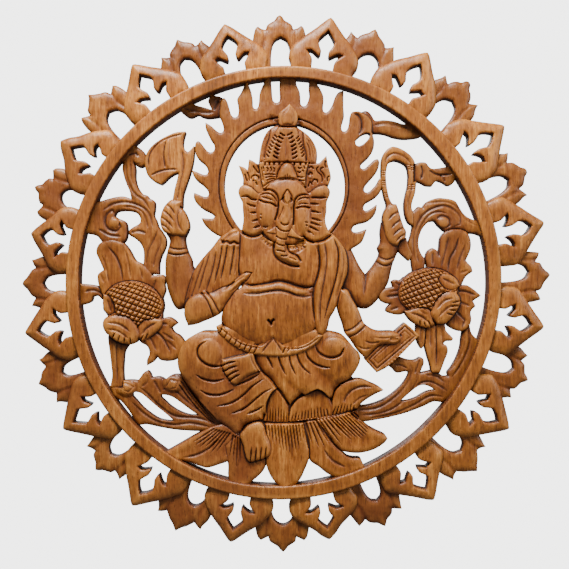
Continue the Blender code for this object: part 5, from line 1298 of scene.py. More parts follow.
lotus.form([
    (-10.4, -68.6), (-9.4, -64.0), (-8.9, -59.2), (-7.4, -55.4), (-5.4, -52.8), (-3.0, -51.4),
    (-0.8, -53.4), (0.8, -56.2), (2.0, -60.2), (2.3, -64.0), (2.2, -69.0),
], PETAL_TOP - 0.4, roll=2.4, width=2.0, dish=0.6)
fan(lotus, ((-8.4, -68.2), (-8.2, -62.6)), ((1.2, -68.4), (1.2, -63.0)), 8, 2.2, 0.6, 0.3)
lotus.form([
    (2.2, -68.8), (2.6, -64.0), (3.6, -60.8), (6.4, -57.4), (11.4, -54.2), (14.4, -52.6), (16.6, -52.0),
    (19.0, -53.2), (21.6, -55.6), (23.0, -58.0), (24.0, -61.0), (24.2, -65.4), (12.6, -67.7),
], PETAL_TOP, roll=2.6, width=2.2, dish=0.6)
lotus.form([
    (23.6, -65.5), (23.2, -62.0), (23.6, -57.4), (25.0, -53.0), (28.4, -49.4), (33.0, -47.5),
    (38.0, -47.4), (42.0, -49.0), (46.0, -50.8), (49.0, -52.9), (45.3, -54.5), (42.0, -56.4),
    (38.9, -58.5), (37.0, -60.4), (35.4, -62.2), (30.0, -64.0),
], PETAL_TOP + 1.0, roll=3.0, width=2.6, dish=0.8)
lotus.groove([
    (29.2, -59.0), (30.6, -55.6), (34.0, -52.4), (38.6, -51.0), (43.6, -51.4),
], 1.6, 1.0, (0.1, 0.2))
lotus.groove([(33.6, -59.6), (37.0, -56.8), (41.4, -55.0)], 1.0, 0.8, (0.1, 0.3))
fan(lotus, ((3.6, -68.2), (4.6, -63.8)), ((21.6, -65.6), (20.6, -61.0)), 12, 2.2, 0.6, 0.2)
fan(lotus, ((23.8, -65.2), (25.4, -60.4)), ((34.0, -62.8), (34.4, -59.2)), 7, 2.2, 0.6, 0.2)

KNEE_FOLDS = [
    [
        (-37.6, -28.4), (-41.0, -30.4), (-42.4, -33.4), (-41.6, -36.8), (-38.6, -39.6), (-34.8, -40.9),
        (-30.8, -40.9),
    ],
    [(15.0, -30.2), (16.6, -33.8), (20.2, -36.2), (24.2, -36.6), (27.6, -35.0), (29.4, -31.6)],
]
CLOTH_FOLDS = [
    [(-43.4, -45.0), (-39.6, -47.2), (-34.4, -48.3), (-28.6, -47.0)],
    [(-41.4, -52.6), (-37.0, -54.8), (-31.0, -54.8), (-24.0, -52.0)],
    [(-33.4, -60.6), (-26.0, -58.9), (-19.9, -55.0), (-15.4, -50.6), (-9.6, -46.8)],
    [(-26.4, -64.4), (-19.4, -61.5), (-14.0, -57.0), (-10.0, -53.8), (-5.6, -51.6)],
    [(-18.4, -64.4), (-13.6, -62.5), (-10.0, -60.2)],
    [(-24.0, -50.4), (-17.6, -47.8), (-12.0, -44.6)],
    [(10.2, -32.4), (11.6, -36.6), (15.2, -39.9), (20.0, -41.5), (23.4, -41.4)],
    [(5.8, -33.4), (7.2, -38.4), (10.0, -42.4), (13.4, -45.0)],
    [(2.4, -35.4), (3.2, -39.8), (5.8, -45.4)],
    [(-3.2, -35.2), (-1.8, -39.8), (0.9, -45.4)],
    [(-8.9, -35.4), (-7.2, -38.4), (-5.4, -42.2)],
]
for fold in KNEE_FOLDS:
    lotus.groove(fold, 3.0, 0.95, (0.3, 0.12))
for fold in CLOTH_FOLDS:
    lotus.groove(fold, 2.6, 0.85, (0.25, 0.3))
lotus.groove([
    (-11.0, -43.8), (-7.0, -47.5), (-4.4, -50.8), (-1.4, -54.8), (2.6, -60.6),
], 2.4, 0.8, (0.1, 0.05))
lotus.groove([
    (-9.8, -68.6), (-4.0, -69.0), (2.8, -68.9), (12.6, -67.8), (18.0, -67.0), (25.0, -65.4), (30.0, -64.0),
    (35.0, -62.4),
], 2.6, 0.8)
lotus.form([
    (-30.6, -37.6), (-28.0, -37.0), (-25.0, -36.2), (-20.0, -35.2), (-16.5, -34.2), (-15.0, -34.7),
    (-13.8, -38.6), (-11.2, -43.2), (-14.0, -44.1), (-18.0, -46.0), (-21.0, -48.1), (-23.6, -50.0),
    (-25.8, -49.4), (-27.0, -47.4), (-28.6, -45.4), (-30.0, -42.6), (-30.8, -40.0),
], UPPER_FOOT_TOP, roll=3.6, width=2.4)
gaps(lotus, (
    ((-30.8, -40.8), (-23.2, -38.4)), ((-29.6, -43.4), (-22.6, -40.6)), ((-28.0, -45.9), (-22.0, -42.8)),
    ((-26.6, -47.9), (-21.4, -44.8)),
), (0.0, 0.4), 2.6, 0.7, (0.0, 0.3))
lotus.groove([(-16.4, -34.6), (-15.4, -38.6), (-12.6, -43.6)], 1.6, 0.7)
lotus.form([
    (-21.8, -74.8), (-20.0, -72.0), (-17.4, -69.4), (-12.0, -68.0), (-9.8, -70.0), (-8.6, -74.0),
    (-7.2, -78.0), (-6.4, -81.6), (-7.0, -84.2), (-9.5, -86.2), (-13.0, -87.2), (-17.0, -88.0),
    (-18.6, -86.4), (-19.4, -83.6), (-20.2, -80.0),
], LOWER_FOOT_TOP, roll=3.6, width=2.6)
for x, drop in ((-16.6, -87.8), (-14.2, -87.4), (-11.8, -86.9), (-9.4, -86.0)):
    lotus.groove([(x, drop), (x + 0.7, -80.0)], 2.4, 0.65, (0.0, 0.4))
lotus.groove([(-10.2, -71.0), (-9.0, -75.0), (-7.6, -79.0)], 1.2, 0.8, (0.2, 0.3))
lotus.worked(0.26, 2.8, 6)
finished(lotus, "legs_and_lotus", 0.06)


# The foliage: two curling scrolls above, two seed heads with their leaves, and the stems below.
# It is sawn out of the plank between the figure and the ring, and cut lower than the figure.

FOLIAGE_TOP = 16.2
SCROLL_TOP = 15.0
STEM_TOP = 12.6
SEED_TOP = 22.4
SEED_PITCH = 2.75
FOLDED_LEAF_TOP = 19.6
CUPPED_LEAF_TOP = 22.0


def seed_head(relief, centre, radii, turn, top, pitch, slant):
    """A domed seed head, cut across both ways into slanting rows of pointed seeds."""
    relief.form(ellipse(centre, radii, turn, count=24), top - 7, roll=3.0, width=2.0)
    relief.dome(centre, radii, top, top - 9, turn, power=0.5)
    lean = math.radians(turn)
    part, x, z = relief.window(ellipse(centre, radii, turn), 0)
    dx = x - centre[0]
    dz = z - centre[1]
    across = (dx * math.cos(lean) + dz * math.sin(lean)) / radii[0]
    up = (dz * math.cos(lean) - dx * math.sin(lean)) / radii[1]
    out = np.sqrt(across**2 + up**2)
    spread = np.arcsin(np.clip(out, 0, 1)) / np.maximum(out, 1e-6)
    u = across * spread * radii[0]
    v = up * spread * radii[1]
    first = np.abs((v - slant * 0.22 * u) / pitch % 1 - 0.5) * 2
    second = np.abs((u + slant * 0.45 * v) / pitch % 1 - 0.5) * 2
    seed = 1 - np.maximum(first, second) ** 3
    rise = 2.6 * seed - 1.5
    rise += 0.9 * ease((0.25 - np.hypot(first, second)) * 6)
    relief.height[part] += np.where(out < 0.97, rise * ease((0.99 - out) * 9), 0)


def leaf(relief, line, top, veins, roll=2.4, width=2.4, dish=1.0):
    """A leaf with a rounded rim and a sunk middle, and the cuts of its veins with their depths."""
    relief.form(line, top, roll=roll, width=width, dish=dish)
    for vein, depth in veins:
        relief.groove(vein, depth, 0.95, (0.2, 0.25))


foliage = Relief((-102, -76), (100, 71), FINE_CELL)
foliage.form([
    (-26.0, -66.0), (-30.0, -66.0), (-38.0, -60.6), (-45.0, -53.0), (-49.0, -46.0), (-53.0, -45.2),
    (-55.5, -45.6), (-57.5, -46.7), (-58.8, -47.9), (-60.6, -46.8), (-62.6, -46.4), (-65.3, -46.9),
    (-66.3, -44.4), (-67.6, -43.3), (-69.6, -44.6), (-71.0, -46.6), (-72.4, -48.4), (-75.0, -48.0),
    (-80.0, -48.3), (-83.0, -49.4), (-86.0, -52.0), (-84.0, -56.0), (-80.6, -58.6), (-77.0, -63.0),
    (-72.0, -70.0), (-68.0, -70.0), (-62.0, -71.3), (-55.0, -72.5), (-50.0, -73.0), (-40.0, -73.4),
    (-30.0, -72.0),
], STEM_TOP, roll=2.6, width=2.4)
foliage.pierce([
    (-74.8, -54.4), (-73.0, -54.0), (-70.5, -54.7), (-67.0, -57.5), (-63.0, -61.0), (-58.0, -65.0),
    (-54.4, -68.2), (-57.0, -68.3), (-62.0, -67.2), (-67.0, -64.0), (-70.5, -61.0), (-72.6, -58.5),
    (-74.8, -56.0),
])
foliage.pierce([
    (-60.6, -55.3), (-58.0, -55.5), (-55.0, -56.5), (-50.0, -60.0), (-46.0, -63.0), (-42.3, -65.5),
    (-47.0, -65.3), (-52.0, -63.5), (-56.0, -61.0), (-58.6, -58.6), (-60.8, -56.5),
])
for line, depth, width in (
    ([(-32.0, -67.6), (-40.0, -60.8), (-47.2, -52.8), (-50.6, -48.4)], 1.2, 0.9),
    ([
        (-33.0, -69.6), (-43.0, -66.8), (-54.0, -65.8), (-62.0, -60.6), (-67.4, -55.0), (-71.6, -51.4),
    ], 1.5, 1.1),
    ([
        (-36.0, -71.4), (-46.0, -69.4), (-54.4, -70.2), (-62.0, -68.8), (-69.0, -64.8), (-75.6, -58.6),
    ], 1.3, 1.0),
    ([(-42.0, -63.4), (-49.0, -57.8), (-55.4, -52.4), (-60.4, -52.8)], 1.2, 0.9),
    ([(-64.4, -48.2), (-62.0, -52.4), (-60.8, -54.6)], 1.1, 0.9),
    ([(-67.8, -45.4), (-67.6, -49.0), (-70.6, -51.6)], 1.0, 0.9),
):
    foliage.groove(line, depth, width, (0.1, 0.15))
foliage.dome((-78.2, -52.2), (5.4, 4.4), 16.4, 9.5, -15)
foliage.groove([
    (-81.8, -50.6), (-78.0, -49.6), (-74.4, -51.4), (-76.4, -53.6), (-79.4, -53.0),
], 1.2, 0.8, (0.1, 0.3))
foliage.dome((-55.0, -50.0), (5.6, 4.4), 16.0, 9.5, -10)
foliage.groove([
    (-58.6, -51.6), (-56.0, -47.8), (-52.4, -48.6), (-53.4, -51.8), (-56.4, -52.4),
], 1.2, 0.8, (0.1, 0.3))

foliage.form([
    (34.0, -62.0), (37.0, -60.9), (41.0, -60.4), (46.0, -59.0), (51.0, -56.5), (55.0, -53.5),
    (58.5, -50.0), (61.0, -46.0), (61.4, -44.2), (59.5, -43.9), (57.0, -44.5), (55.0, -44.4),
    (53.6, -42.8), (51.8, -41.4), (52.8, -39.4), (55.0, -37.8), (57.0, -36.8), (60.0, -37.7),
    (62.5, -38.2), (65.0, -38.0), (67.0, -36.8), (68.7, -37.6), (69.0, -40.0), (68.2, -42.0),
    (67.2, -44.6), (70.0, -43.9), (73.0, -43.4), (76.0, -44.5), (79.0, -46.2), (81.0, -46.0),
    (80.6, -44.4), (82.4, -42.0), (85.0, -37.5), (87.0, -32.0), (87.6, -27.0), (88.6, -22.0),
    (91.6, -21.0), (92.6, -25.0), (96.0, -29.5), (94.0, -36.0), (88.0, -49.0), (84.0, -54.6),
    (78.5, -59.0), (74.0, -58.8), (69.0, -61.0), (64.0, -63.0), (58.0, -65.0), (52.0, -66.5),
    (46.0, -67.7), (40.0, -68.6), (34.0, -69.0),
], STEM_TOP, roll=2.6, width=2.4)
foliage.pierce([
    (57.2, -58.6), (60.0, -56.0), (63.0, -53.5), (66.0, -51.2), (69.0, -50.5), (72.0, -51.5),
    (74.4, -53.0), (71.0, -53.6), (68.0, -55.0), (65.0, -56.8), (61.0, -58.1),
])
for line, depth, width in (
    ([(36.0, -63.0), (46.0, -61.8), (54.0, -57.0), (60.0, -50.6), (63.0, -44.0), (62.4, -40.0)], 1.4, 1.0),
    ([(38.0, -65.4), (48.0, -64.4), (56.0, -60.6), (62.6, -54.0), (66.0, -47.4)], 1.2, 0.9),
    ([(42.0, -67.0), (54.0, -64.6), (64.0, -60.4), (72.0, -56.0), (79.0, -56.4)], 1.3, 1.0),
    ([(64.5, -51.5), (68.0, -49.4), (72.0, -49.0), (76.6, -51.0), (80.4, -53.6)], 1.3, 0.9),
    ([(90.6, -22.4), (91.6, -28.0), (90.2, -34.0), (87.0, -40.6), (82.6, -47.0)], 1.3, 0.9),
    ([(88.8, -25.0), (89.0, -31.0), (86.0, -38.0), (82.0, -43.4)], 0.9, 0.8),
    ([(53.6, -40.6), (57.4, -40.8), (61.0, -42.6)], 1.1, 0.8),
    ([(66.8, -38.2), (65.8, -41.4), (64.4, -45.0)], 1.1, 0.8),
    ([(70.0, -45.6), (75.0, -46.2), (79.4, -49.4)], 1.1, 0.9),
):
    foliage.groove(line, depth, width, (0.1, 0.15))

foliage.form([
    (-78.0, 69.0), (-72.0, 66.8), (-69.4, 64.6), (-68.1, 61.4), (-68.8, 58.2), (-70.4, 57.0),
    (-72.6, 57.4), (-74.0, 59.0), (-73.4, 56.0), (-73.5, 52.0), (-73.0, 49.0), (-72.0, 46.5),
    (-70.5, 44.4), (-69.4, 43.5), (-67.5, 43.0), (-66.5, 41.5), (-65.0, 41.0), (-63.8, 39.6),
    (-63.8, 36.0), (-64.2, 33.0), (-63.0, 30.6), (-62.0, 27.6), (-60.4, 25.4), (-58.4, 21.8),
    (-58.3, 18.4), (-59.4, 15.4), (-60.6, 12.8), (-61.6, 9.0), (-61.6, 4.0), (-69.0, 4.0), (-69.4, 9.0),
    (-69.2, 13.0), (-69.5, 16.4), (-70.5, 18.7), (-72.0, 20.5), (-74.0, 22.0), (-76.3, 23.4),
    (-76.8, 24.8), (-76.3, 26.0), (-74.5, 27.4), (-72.5, 28.5), (-71.2, 29.5), (-70.9, 31.5),
    (-72.0, 33.6), (-74.0, 34.8), (-77.0, 35.4), (-80.0, 35.4), (-82.6, 34.8), (-83.7, 32.9),
    (-82.0, 31.8), (-79.5, 30.8), (-78.2, 29.8), (-77.6, 28.0), (-77.4, 25.0), (-77.8, 22.0),
    (-78.8, 20.2), (-82.0, 18.0), (-89.3, 19.6), (-90.5, 21.0), (-92.5, 23.0), (-99.0, 24.5),
    (-95.0, 40.2), (-91.0, 40.2), (-86.0, 41.6), (-82.0, 42.4), (-79.0, 42.5), (-75.4, 41.4),
    (-76.2, 45.0), (-77.9, 49.0), (-79.2, 53.0), (-79.9, 56.4), (-79.6, 59.4), (-83.0, 62.0),
], SCROLL_TOP, roll=2.8, width=2.6)
for line, depth, width in (
    ([
        (-83.3, 33.6), (-84.8, 35.6), (-87.0, 34.0), (-88.2, 31.0), (-87.8, 28.0), (-85.6, 25.8),
        (-82.6, 25.4), (-80.6, 27.4), (-81.6, 29.8), (-84.0, 29.8),
    ], 1.7, 1.1),
    ([
        (-64.6, 27.4), (-65.8, 32.0), (-68.2, 35.8), (-72.4, 38.2), (-78.0, 39.6), (-84.4, 38.6),
        (-89.6, 35.4),
    ], 1.5, 1.1),
    ([(-67.0, 27.0), (-68.2, 31.6), (-70.4, 35.2), (-75.0, 37.2), (-80.0, 37.4)], 1.1, 0.9),
    ([(-77.8, 58.6), (-77.6, 53.0), (-75.8, 47.4), (-73.2, 43.4), (-69.0, 40.4), (-66.0, 35.4)], 1.4, 1.0),
    ([(-75.6, 58.8), (-75.4, 52.6), (-74.0, 47.6)], 0.9, 0.8),
    ([(-77.0, 62.8), (-73.0, 63.6), (-70.8, 61.2), (-72.4, 59.6)], 1.4, 0.9),
    ([(-68.2, 9.0), (-66.8, 16.0), (-63.8, 22.0), (-62.4, 26.0)], 1.4, 1.0),
    ([(-64.4, 8.0), (-63.0, 14.0), (-60.8, 19.0), (-61.0, 23.4)], 1.1, 0.9),
    ([(-75.4, 24.6), (-72.0, 25.4), (-68.0, 24.4)], 1.5, 1.0),
    ([(-91.4, 26.4), (-86.0, 23.4), (-80.0, 22.6)], 1.2, 1.0),
):
    foliage.groove(line, depth, width, (0.08, 0.15))
foliage.dome((-83.8, 29.4), (2.6, 2.6), SCROLL_TOP + 1.6, SCROLL_TOP - 1.5)
foliage.dome((-72.0, 60.6), (2.4, 2.2), SCROLL_TOP + 0.6, SCROLL_TOP - 2.0)

foliage.form([
    (99.0, 22.0), (94.5, 24.0), (91.0, 24.4), (88.0, 25.9), (85.0, 26.4), (82.0, 26.1), (79.5, 25.2),
    (77.3, 26.8), (75.7, 28.3), (74.4, 30.1), (72.8, 30.2), (70.5, 29.3), (68.0, 26.3), (66.7, 23.0),
    (66.2, 20.0), (66.6, 16.5), (68.0, 13.5), (69.3, 11.6), (69.0, 5.0), (63.5, 5.0), (62.8, 10.0),
    (62.6, 14.0), (61.2, 19.0), (62.0, 22.0), (62.8, 25.0), (63.1, 28.2), (60.8, 30.8), (59.6, 33.6),
    (60.4, 36.0), (63.5, 35.3), (64.5, 36.0), (66.0, 37.6), (68.2, 37.0), (69.0, 38.5), (70.5, 40.0),
    (73.0, 41.1), (76.0, 41.8), (79.0, 41.6), (82.5, 41.0), (84.6, 40.0), (86.5, 37.0), (89.0, 33.5),
    (92.0, 31.5), (98.0, 29.5),
], SCROLL_TOP, roll=2.8, width=2.6)
for line, depth, width in (
    ([
        (64.6, 10.0), (63.8, 16.0), (63.8, 22.0), (65.6, 28.4), (68.6, 33.4), (73.0, 36.4), (78.6, 37.8),
        (83.4, 36.0), (86.8, 32.4), (86.6, 28.8), (83.4, 27.4),
    ], 1.6, 1.1),
    ([
        (66.4, 9.0), (65.2, 17.0), (65.8, 23.6), (68.4, 29.4), (72.0, 33.6), (76.4, 34.8), (80.8, 33.6),
    ], 1.2, 0.9),
    ([(68.6, 38.8), (74.0, 39.6), (80.4, 39.6), (85.6, 36.6), (90.0, 31.0), (95.0, 27.6)], 1.3, 1.0),
    ([(75.0, 31.4), (77.6, 32.8), (81.0, 31.4), (81.6, 28.4), (79.4, 26.8)], 1.3, 0.9),
):
    foliage.groove(line, depth, width, (0.08, 0.15))
foliage.dome((78.5, 29.6), (2.8, 2.8), SCROLL_TOP + 1.6, SCROLL_TOP - 1.5)

leaf(foliage, [
    (-86.4, -24.0), (-87.0, -27.0), (-86.3, -33.0), (-85.5, -40.0), (-85.0, -46.0), (-86.0, -52.0),
    (-79.0, -52.0), (-79.3, -47.5), (-79.5, -44.0), (-79.3, -39.0), (-78.7, -34.0), (-76.0, -29.0),
    (-78.0, -22.0),
], STEM_TOP + 0.8, [
    ([(-82.6, -28.0), (-82.8, -38.0), (-82.0, -49.0)], 1.2), ([(-84.8, -30.0), (-84.4, -42.0)], 0.9),
])
leaf(foliage, [
    (-101.0, -0.4), (-95.0, -1.0), (-91.0, -2.0), (-88.0, -4.2), (-86.0, -8.0), (-89.5, -8.5),
    (-92.0, -6.6), (-94.5, -7.0), (-95.5, -9.5), (-101.0, -11.5),
], STEM_TOP, [([(-99.0, -4.6), (-94.0, -3.8), (-89.0, -6.2)], 1.0)])
leaf(foliage, [
    (-92.0, 3.4), (-89.0, 6.4), (-91.0, 11.0), (-92.6, 15.0), (-91.6, 18.6), (-88.6, 20.6), (-84.0, 21.2),
    (-79.0, 19.4), (-76.0, 15.7), (-73.5, 11.2), (-70.5, 9.6), (-69.2, 8.6), (-66.0, 5.6), (-65.0, 3.4),
    (-60.0, 4.0), (-58.5, 2.0), (-59.0, -1.0), (-58.5, -3.5), (-60.0, -8.0), (-75.0, -10.0), (-90.0, -6.0),
], FOLIAGE_TOP, [
    ([(-86.6, 17.4), (-82.6, 12.4), (-80.2, 6.0), (-79.4, 0.0)], 1.7),
    ([(-90.0, 14.0), (-87.4, 7.0), (-86.4, 0.0)], 1.2),
    ([(-78.4, 16.6), (-76.4, 9.0), (-75.6, 2.0)], 1.2), ([(-71.0, 7.6), (-69.6, 2.0)], 1.0),
    ([(-63.0, 1.6), (-64.6, -3.0)], 1.0), ([(-90.6, 4.4), (-88.6, 0.0)], 1.0),
], roll=2.8, width=2.8)
leaf(foliage, [
    (-60.0, -14.0), (-60.0, -17.6), (-57.0, -16.9), (-54.0, -18.4), (-52.5, -20.0), (-55.5, -22.3),
    (-54.4, -24.2), (-51.0, -26.5), (-49.1, -30.0), (-50.1, -34.5), (-52.5, -37.6), (-57.0, -38.7),
    (-61.0, -38.1), (-62.6, -36.4), (-64.4, -39.0), (-67.7, -41.0), (-67.6, -38.0), (-66.4, -35.0),
    (-67.4, -31.5), (-71.0, -29.0), (-73.0, -22.0), (-66.0, -14.0),
], FOLIAGE_TOP + 0.4, [
    ([(-66.0, -22.0), (-60.0, -27.0), (-56.0, -34.0)], 1.8), ([(-61.6, -20.0), (-56.8, -20.6)], 1.0),
    ([(-60.0, -24.6), (-54.0, -28.4)], 1.0), ([(-66.0, -27.0), (-62.6, -33.6)], 1.1),
    ([(-69.4, -27.0), (-66.6, -36.0)], 0.9), ([(-58.6, -28.0), (-52.6, -33.0)], 0.9),
], roll=2.8, width=2.8)
seed_head(foliage, (-74.4, -10.6), (15.2, 11.8), -8, SEED_TOP, SEED_PITCH, -1)
leaf(foliage, [
    (-89.2, -5.6), (-85.4, -6.6), (-83.0, -10.6), (-82.4, -15.0), (-86.0, -16.4), (-89.0, -13.4),
], FOLIAGE_TOP + 1.6, [([(-87.0, -8.0), (-85.0, -14.6)], 1.2)])
leaf(foliage, [
    (-69.8, -18.6), (-64.0, -17.4), (-59.6, -18.0), (-60.0, -21.4), (-62.4, -24.2), (-66.0, -27.0),
    (-70.0, -29.2), (-72.6, -25.0),
], FOLDED_LEAF_TOP, [([(-62.4, -19.4), (-67.6, -22.6), (-70.6, -26.4)], 1.4)], roll=3.6, width=3.0)
leaf(foliage, [
    (-88.8, -18.6), (-86.5, -16.4), (-82.0, -15.6), (-77.0, -16.2), (-74.0, -18.6), (-71.6, -22.6),
    (-71.0, -26.2), (-73.0, -29.6), (-77.0, -30.5), (-82.0, -29.2), (-86.2, -26.2), (-88.8, -22.4),
], CUPPED_LEAF_TOP + 0.2, [
    ([(-86.8, -19.6), (-81.0, -20.4), (-75.0, -24.4)], 1.3),
    ([(-86.8, -22.8), (-81.6, -23.8), (-76.0, -27.6)], 1.2),
], roll=5.0, width=4.4, dish=0.0)

leaf(foliage, [
    (65.0, -20.0), (65.0, -27.0), (66.0, -30.0), (67.5, -32.7), (69.2, -31.0), (70.0, -26.0),
    (70.0, -18.0),
], STEM_TOP + 1.8, [([(67.2, -22.0), (67.4, -30.0)], 1.0)])
leaf(foliage, [
    (69.4, -16.0), (70.0, -25.0), (69.4, -31.0), (70.5, -36.0), (72.0, -41.0), (72.6, -44.6),
    (76.6, -44.6), (79.0, -38.5), (80.6, -34.0), (80.1, -31.2), (78.4, -30.1), (79.5, -28.9),
    (82.6, -28.6), (83.2, -27.4), (81.4, -25.4), (79.6, -23.4), (79.0, -16.0),
], FOLIAGE_TOP, [
    ([(74.6, -20.0), (75.0, -30.0), (74.8, -40.0)], 1.7), ([(77.4, -22.0), (78.2, -32.0)], 1.0),
    ([(72.0, -22.0), (72.2, -32.0)], 1.0),
])
leaf(foliage, [
    (69.2, 4.0), (70.3, 8.0), (69.7, 12.0), (70.8, 15.6), (73.0, 17.2), (75.4, 15.8), (76.1, 13.6),
    (76.6, 18.0), (77.2, 22.4), (79.4, 25.1), (82.0, 26.2), (85.0, 26.5), (88.0, 26.0), (90.2, 24.6),
    (91.5, 22.2), (92.0, 19.0), (91.7, 16.0), (90.5, 13.2), (89.5, 11.0), (90.7, 9.4), (92.2, 7.8),
    (92.8, 5.4), (89.4, 2.8), (86.0, -3.0), (78.0, -6.0), (68.0, -2.0),
], FOLIAGE_TOP, [
    ([(86.0, 22.6), (84.4, 17.0), (81.6, 11.6), (80.6, 5.0)], 1.8),
    ([(81.0, 22.4), (79.0, 14.0), (77.4, 7.6)], 1.2),
    ([(89.0, 18.6), (86.6, 12.0), (84.8, 6.0)], 1.2), ([(73.2, 15.4), (73.0, 8.0)], 1.2),
    ([(90.6, 6.2), (86.6, 4.6)], 1.0),
], roll=2.8, width=2.8)
leaf(foliage, [
    (84.0, 1.0), (86.5, -1.0), (90.0, -1.2), (94.0, -3.8), (97.0, -6.4), (93.0, -9.0), (94.3, -11.6),
    (92.0, -14.2), (92.2, -18.6), (90.5, -22.4), (87.0, -24.0), (83.0, -22.8), (80.0, -20.0), (82.0, -8.0),
], FOLIAGE_TOP - 0.6, [
    ([(84.0, -4.0), (89.0, -4.4), (94.6, -6.4)], 1.5), ([(85.0, -9.0), (91.6, -11.6)], 1.1),
    ([(84.6, -14.0), (89.0, -18.6), (87.4, -22.4)], 1.4),
])
leaf(foliage, [
    (59.0, 3.0), (57.0, 1.3), (54.5, 1.6), (52.8, 0.6), (53.6, -2.0), (49.5, -3.1), (47.1, -6.0),
    (47.3, -8.6), (50.5, -10.5), (52.2, -10.6), (50.4, -12.5), (50.1, -14.1), (52.0, -15.2), (58.0, -15.6),
    (64.0, -10.0), (64.0, 0.0),
], FOLIAGE_TOP - 1.2, [
    ([(50.0, -7.0), (54.0, -6.6), (58.6, -5.6)], 1.3), ([(54.4, 0.2), (58.0, -2.0)], 1.0),
    ([(52.0, -13.6), (56.6, -12.0)], 1.0), ([(51.6, -4.6), (56.4, -3.8)], 0.9),
])
seed_head(foliage, (70.9, -4.2), (15.2, 11.8), 8, SEED_TOP, SEED_PITCH, 1)
leaf(foliage, [
    (75.0, 1.6), (77.0, 4.4), (81.0, 4.2), (84.4, 2.2), (86.6, -1.6), (83.0, -4.0), (79.0, -3.4),
    (76.4, -1.0),
], FOLDED_LEAF_TOP, [([(77.6, 2.0), (84.0, -1.0)], 1.1)], roll=3.0, width=2.6)
leaf(foliage, [
    (58.4, -13.6), (61.0, -13.4), (65.0, -12.0), (70.0, -12.0), (72.6, -14.6), (74.6, -20.4),
    (71.0, -22.4), (66.0, -21.2), (62.0, -18.6),
], FOLDED_LEAF_TOP + 0.4, [
    ([(61.4, -14.8), (66.6, -16.4), (71.6, -20.0)], 1.4), ([(66.0, -13.4), (70.4, -16.0)], 0.9),
], roll=4.0, width=3.2)
leaf(foliage, [
    (71.6, -16.0), (72.3, -12.0), (75.0, -7.0), (79.0, -4.2), (83.2, -4.2), (86.2, -7.0), (86.3, -11.0),
    (83.4, -16.0), (79.4, -20.0), (75.0, -20.6),
], CUPPED_LEAF_TOP, [
    ([(74.6, -13.0), (78.4, -9.0), (83.0, -7.6)], 1.3), ([(75.4, -16.8), (79.8, -12.6), (84.4, -10.6)], 1.2),
], roll=5.0, width=4.2, dish=0.0)
for edge, inner in (
    ((85.6, -9.2), (81.8, -10.0)), ((85.0, -11.4), (81.2, -11.8)), ((83.8, -13.6), (80.4, -13.4)),
    ((82.2, -15.8), (79.2, -15.0)), ((74.4, -20.8), (72.4, -17.4)), ((72.0, -21.6), (70.4, -18.2)),
    ((69.4, -21.6), (68.4, -18.6)), ((66.8, -20.8), (66.4, -18.2)), ((-84.4, -27.4), (-82.6, -24.2)),
    ((-81.6, -29.0), (-80.4, -25.4)), ((-78.6, -29.8), (-78.0, -26.2)), ((-75.4, -29.8), (-75.4, -26.8)),
    ((-70.6, -28.4), (-68.8, -25.4)), ((-68.0, -27.4), (-66.6, -24.6)),
):
    foliage.groove([edge, inner], 2.2, 0.6, (0.0, 0.5))
for shift in (0.0, 1.7, 3.4):
    foliage.groove([
        (-50.4 - 0.5 * shift, -46.6 - shift), (-45.6 - 0.4 * shift, -54.0 - shift), (-39.4, -62.4 - shift),
        (-34.0, -68.6 - 0.4 * shift),
    ], 2.0, 0.7, (0.05, 0.1))
foliage.worked(0.26, 2.8, 7)
finished(foliage, "foliage", 0.12)


# The studio: a pale floor that glows faintly, a soft sky, three soft lamps and the camera in front.
# It is no part of the panel. The key lamp stands high and near, so that every cut keeps its shadow.

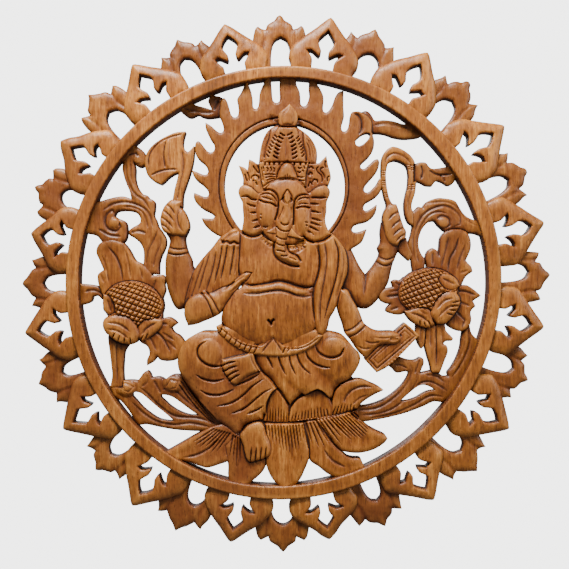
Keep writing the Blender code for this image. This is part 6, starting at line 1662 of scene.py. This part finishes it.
bpy.ops.mesh.primitive_plane_add(size=6, location=(0, 0, -1.4))
floor = bpy.context.object
floor.name = "floor"
floor_material = bpy.data.materials.new("floor")
floor_material.use_nodes = True
floor_shader = floor_material.node_tree.nodes["Principled BSDF"]
floor_shader.inputs["Base Color"].default_value = (0.78, 0.78, 0.77, 1)
floor_shader.inputs["Roughness"].default_value = 0.8
floor_shader.inputs["Emission Color"].default_value = (1.0, 1.0, 0.98, 1)
floor_shader.inputs["Emission Strength"].default_value = 0.9
floor.data.materials.append(floor_material)
floor.visible_diffuse = False
floor.visible_glossy = False

world = bpy.data.worlds.new("studio")
bpy.context.scene.world = world
world.use_nodes = True
air = Shade(world.node_tree)
soft_light = air.node("ShaderNodeBackground", {}, {"Color": (0.93, 0.95, 1.0, 1), "Strength": 0.19})
pale_ground = air.node("ShaderNodeBackground", {}, {"Color": (1.0, 1.0, 0.99, 1), "Strength": 4.2})
seen = air.node("ShaderNodeLightPath", output="Is Camera Ray")
both = air.node("ShaderNodeMixShader", {}, {0: seen, 1: soft_light, 2: pale_ground})
world.node_tree.links.new(both.socket, world.node_tree.nodes["World Output"].inputs["Surface"])


def softbox(name, place, size, power, colour=(1, 1, 1)):
    """A soft lamp that points at the middle of the panel."""
    lamp = bpy.data.lights.new(name, "AREA")
    lamp.shape = "RECTANGLE"
    lamp.size, lamp.size_y = size
    lamp.energy = power
    lamp.color = colour
    holder = bpy.data.objects.new(name, lamp)
    bpy.context.scene.collection.objects.link(holder)
    holder.location = place
    holder.rotation_euler = holder.location.to_track_quat("Z", "Y").to_euler()


softbox("key_light", (-0.2, -0.62, 1.0), (0.7, 0.4), 28, (1.0, 0.98, 0.94))
softbox("fill_light", (1.5, -0.9, 0.5), (0.8, 1.2), 11, (0.97, 0.98, 1.0))
softbox("back_light", (-0.5, 1.4, 0.9), (1.0, 0.8), 16, (0.97, 0.98, 1.0))

CAMERA_DISTANCE = 1.06
FRAME_WIDTH = 0.641
SENSOR_WIDTH = 36
PANEL_DEPTH = 0.020
camera_data = bpy.data.cameras.new("camera")
camera = bpy.data.objects.new("camera", camera_data)
bpy.context.scene.collection.objects.link(camera)
camera_data.sensor_width = SENSOR_WIDTH
camera_data.lens = SENSOR_WIDTH * CAMERA_DISTANCE / FRAME_WIDTH
camera.location = (0.0003, -CAMERA_DISTANCE - PANEL_DEPTH, -0.0021)
camera.rotation_euler = (math.pi / 2, 0, 0)
bpy.context.scene.camera = camera
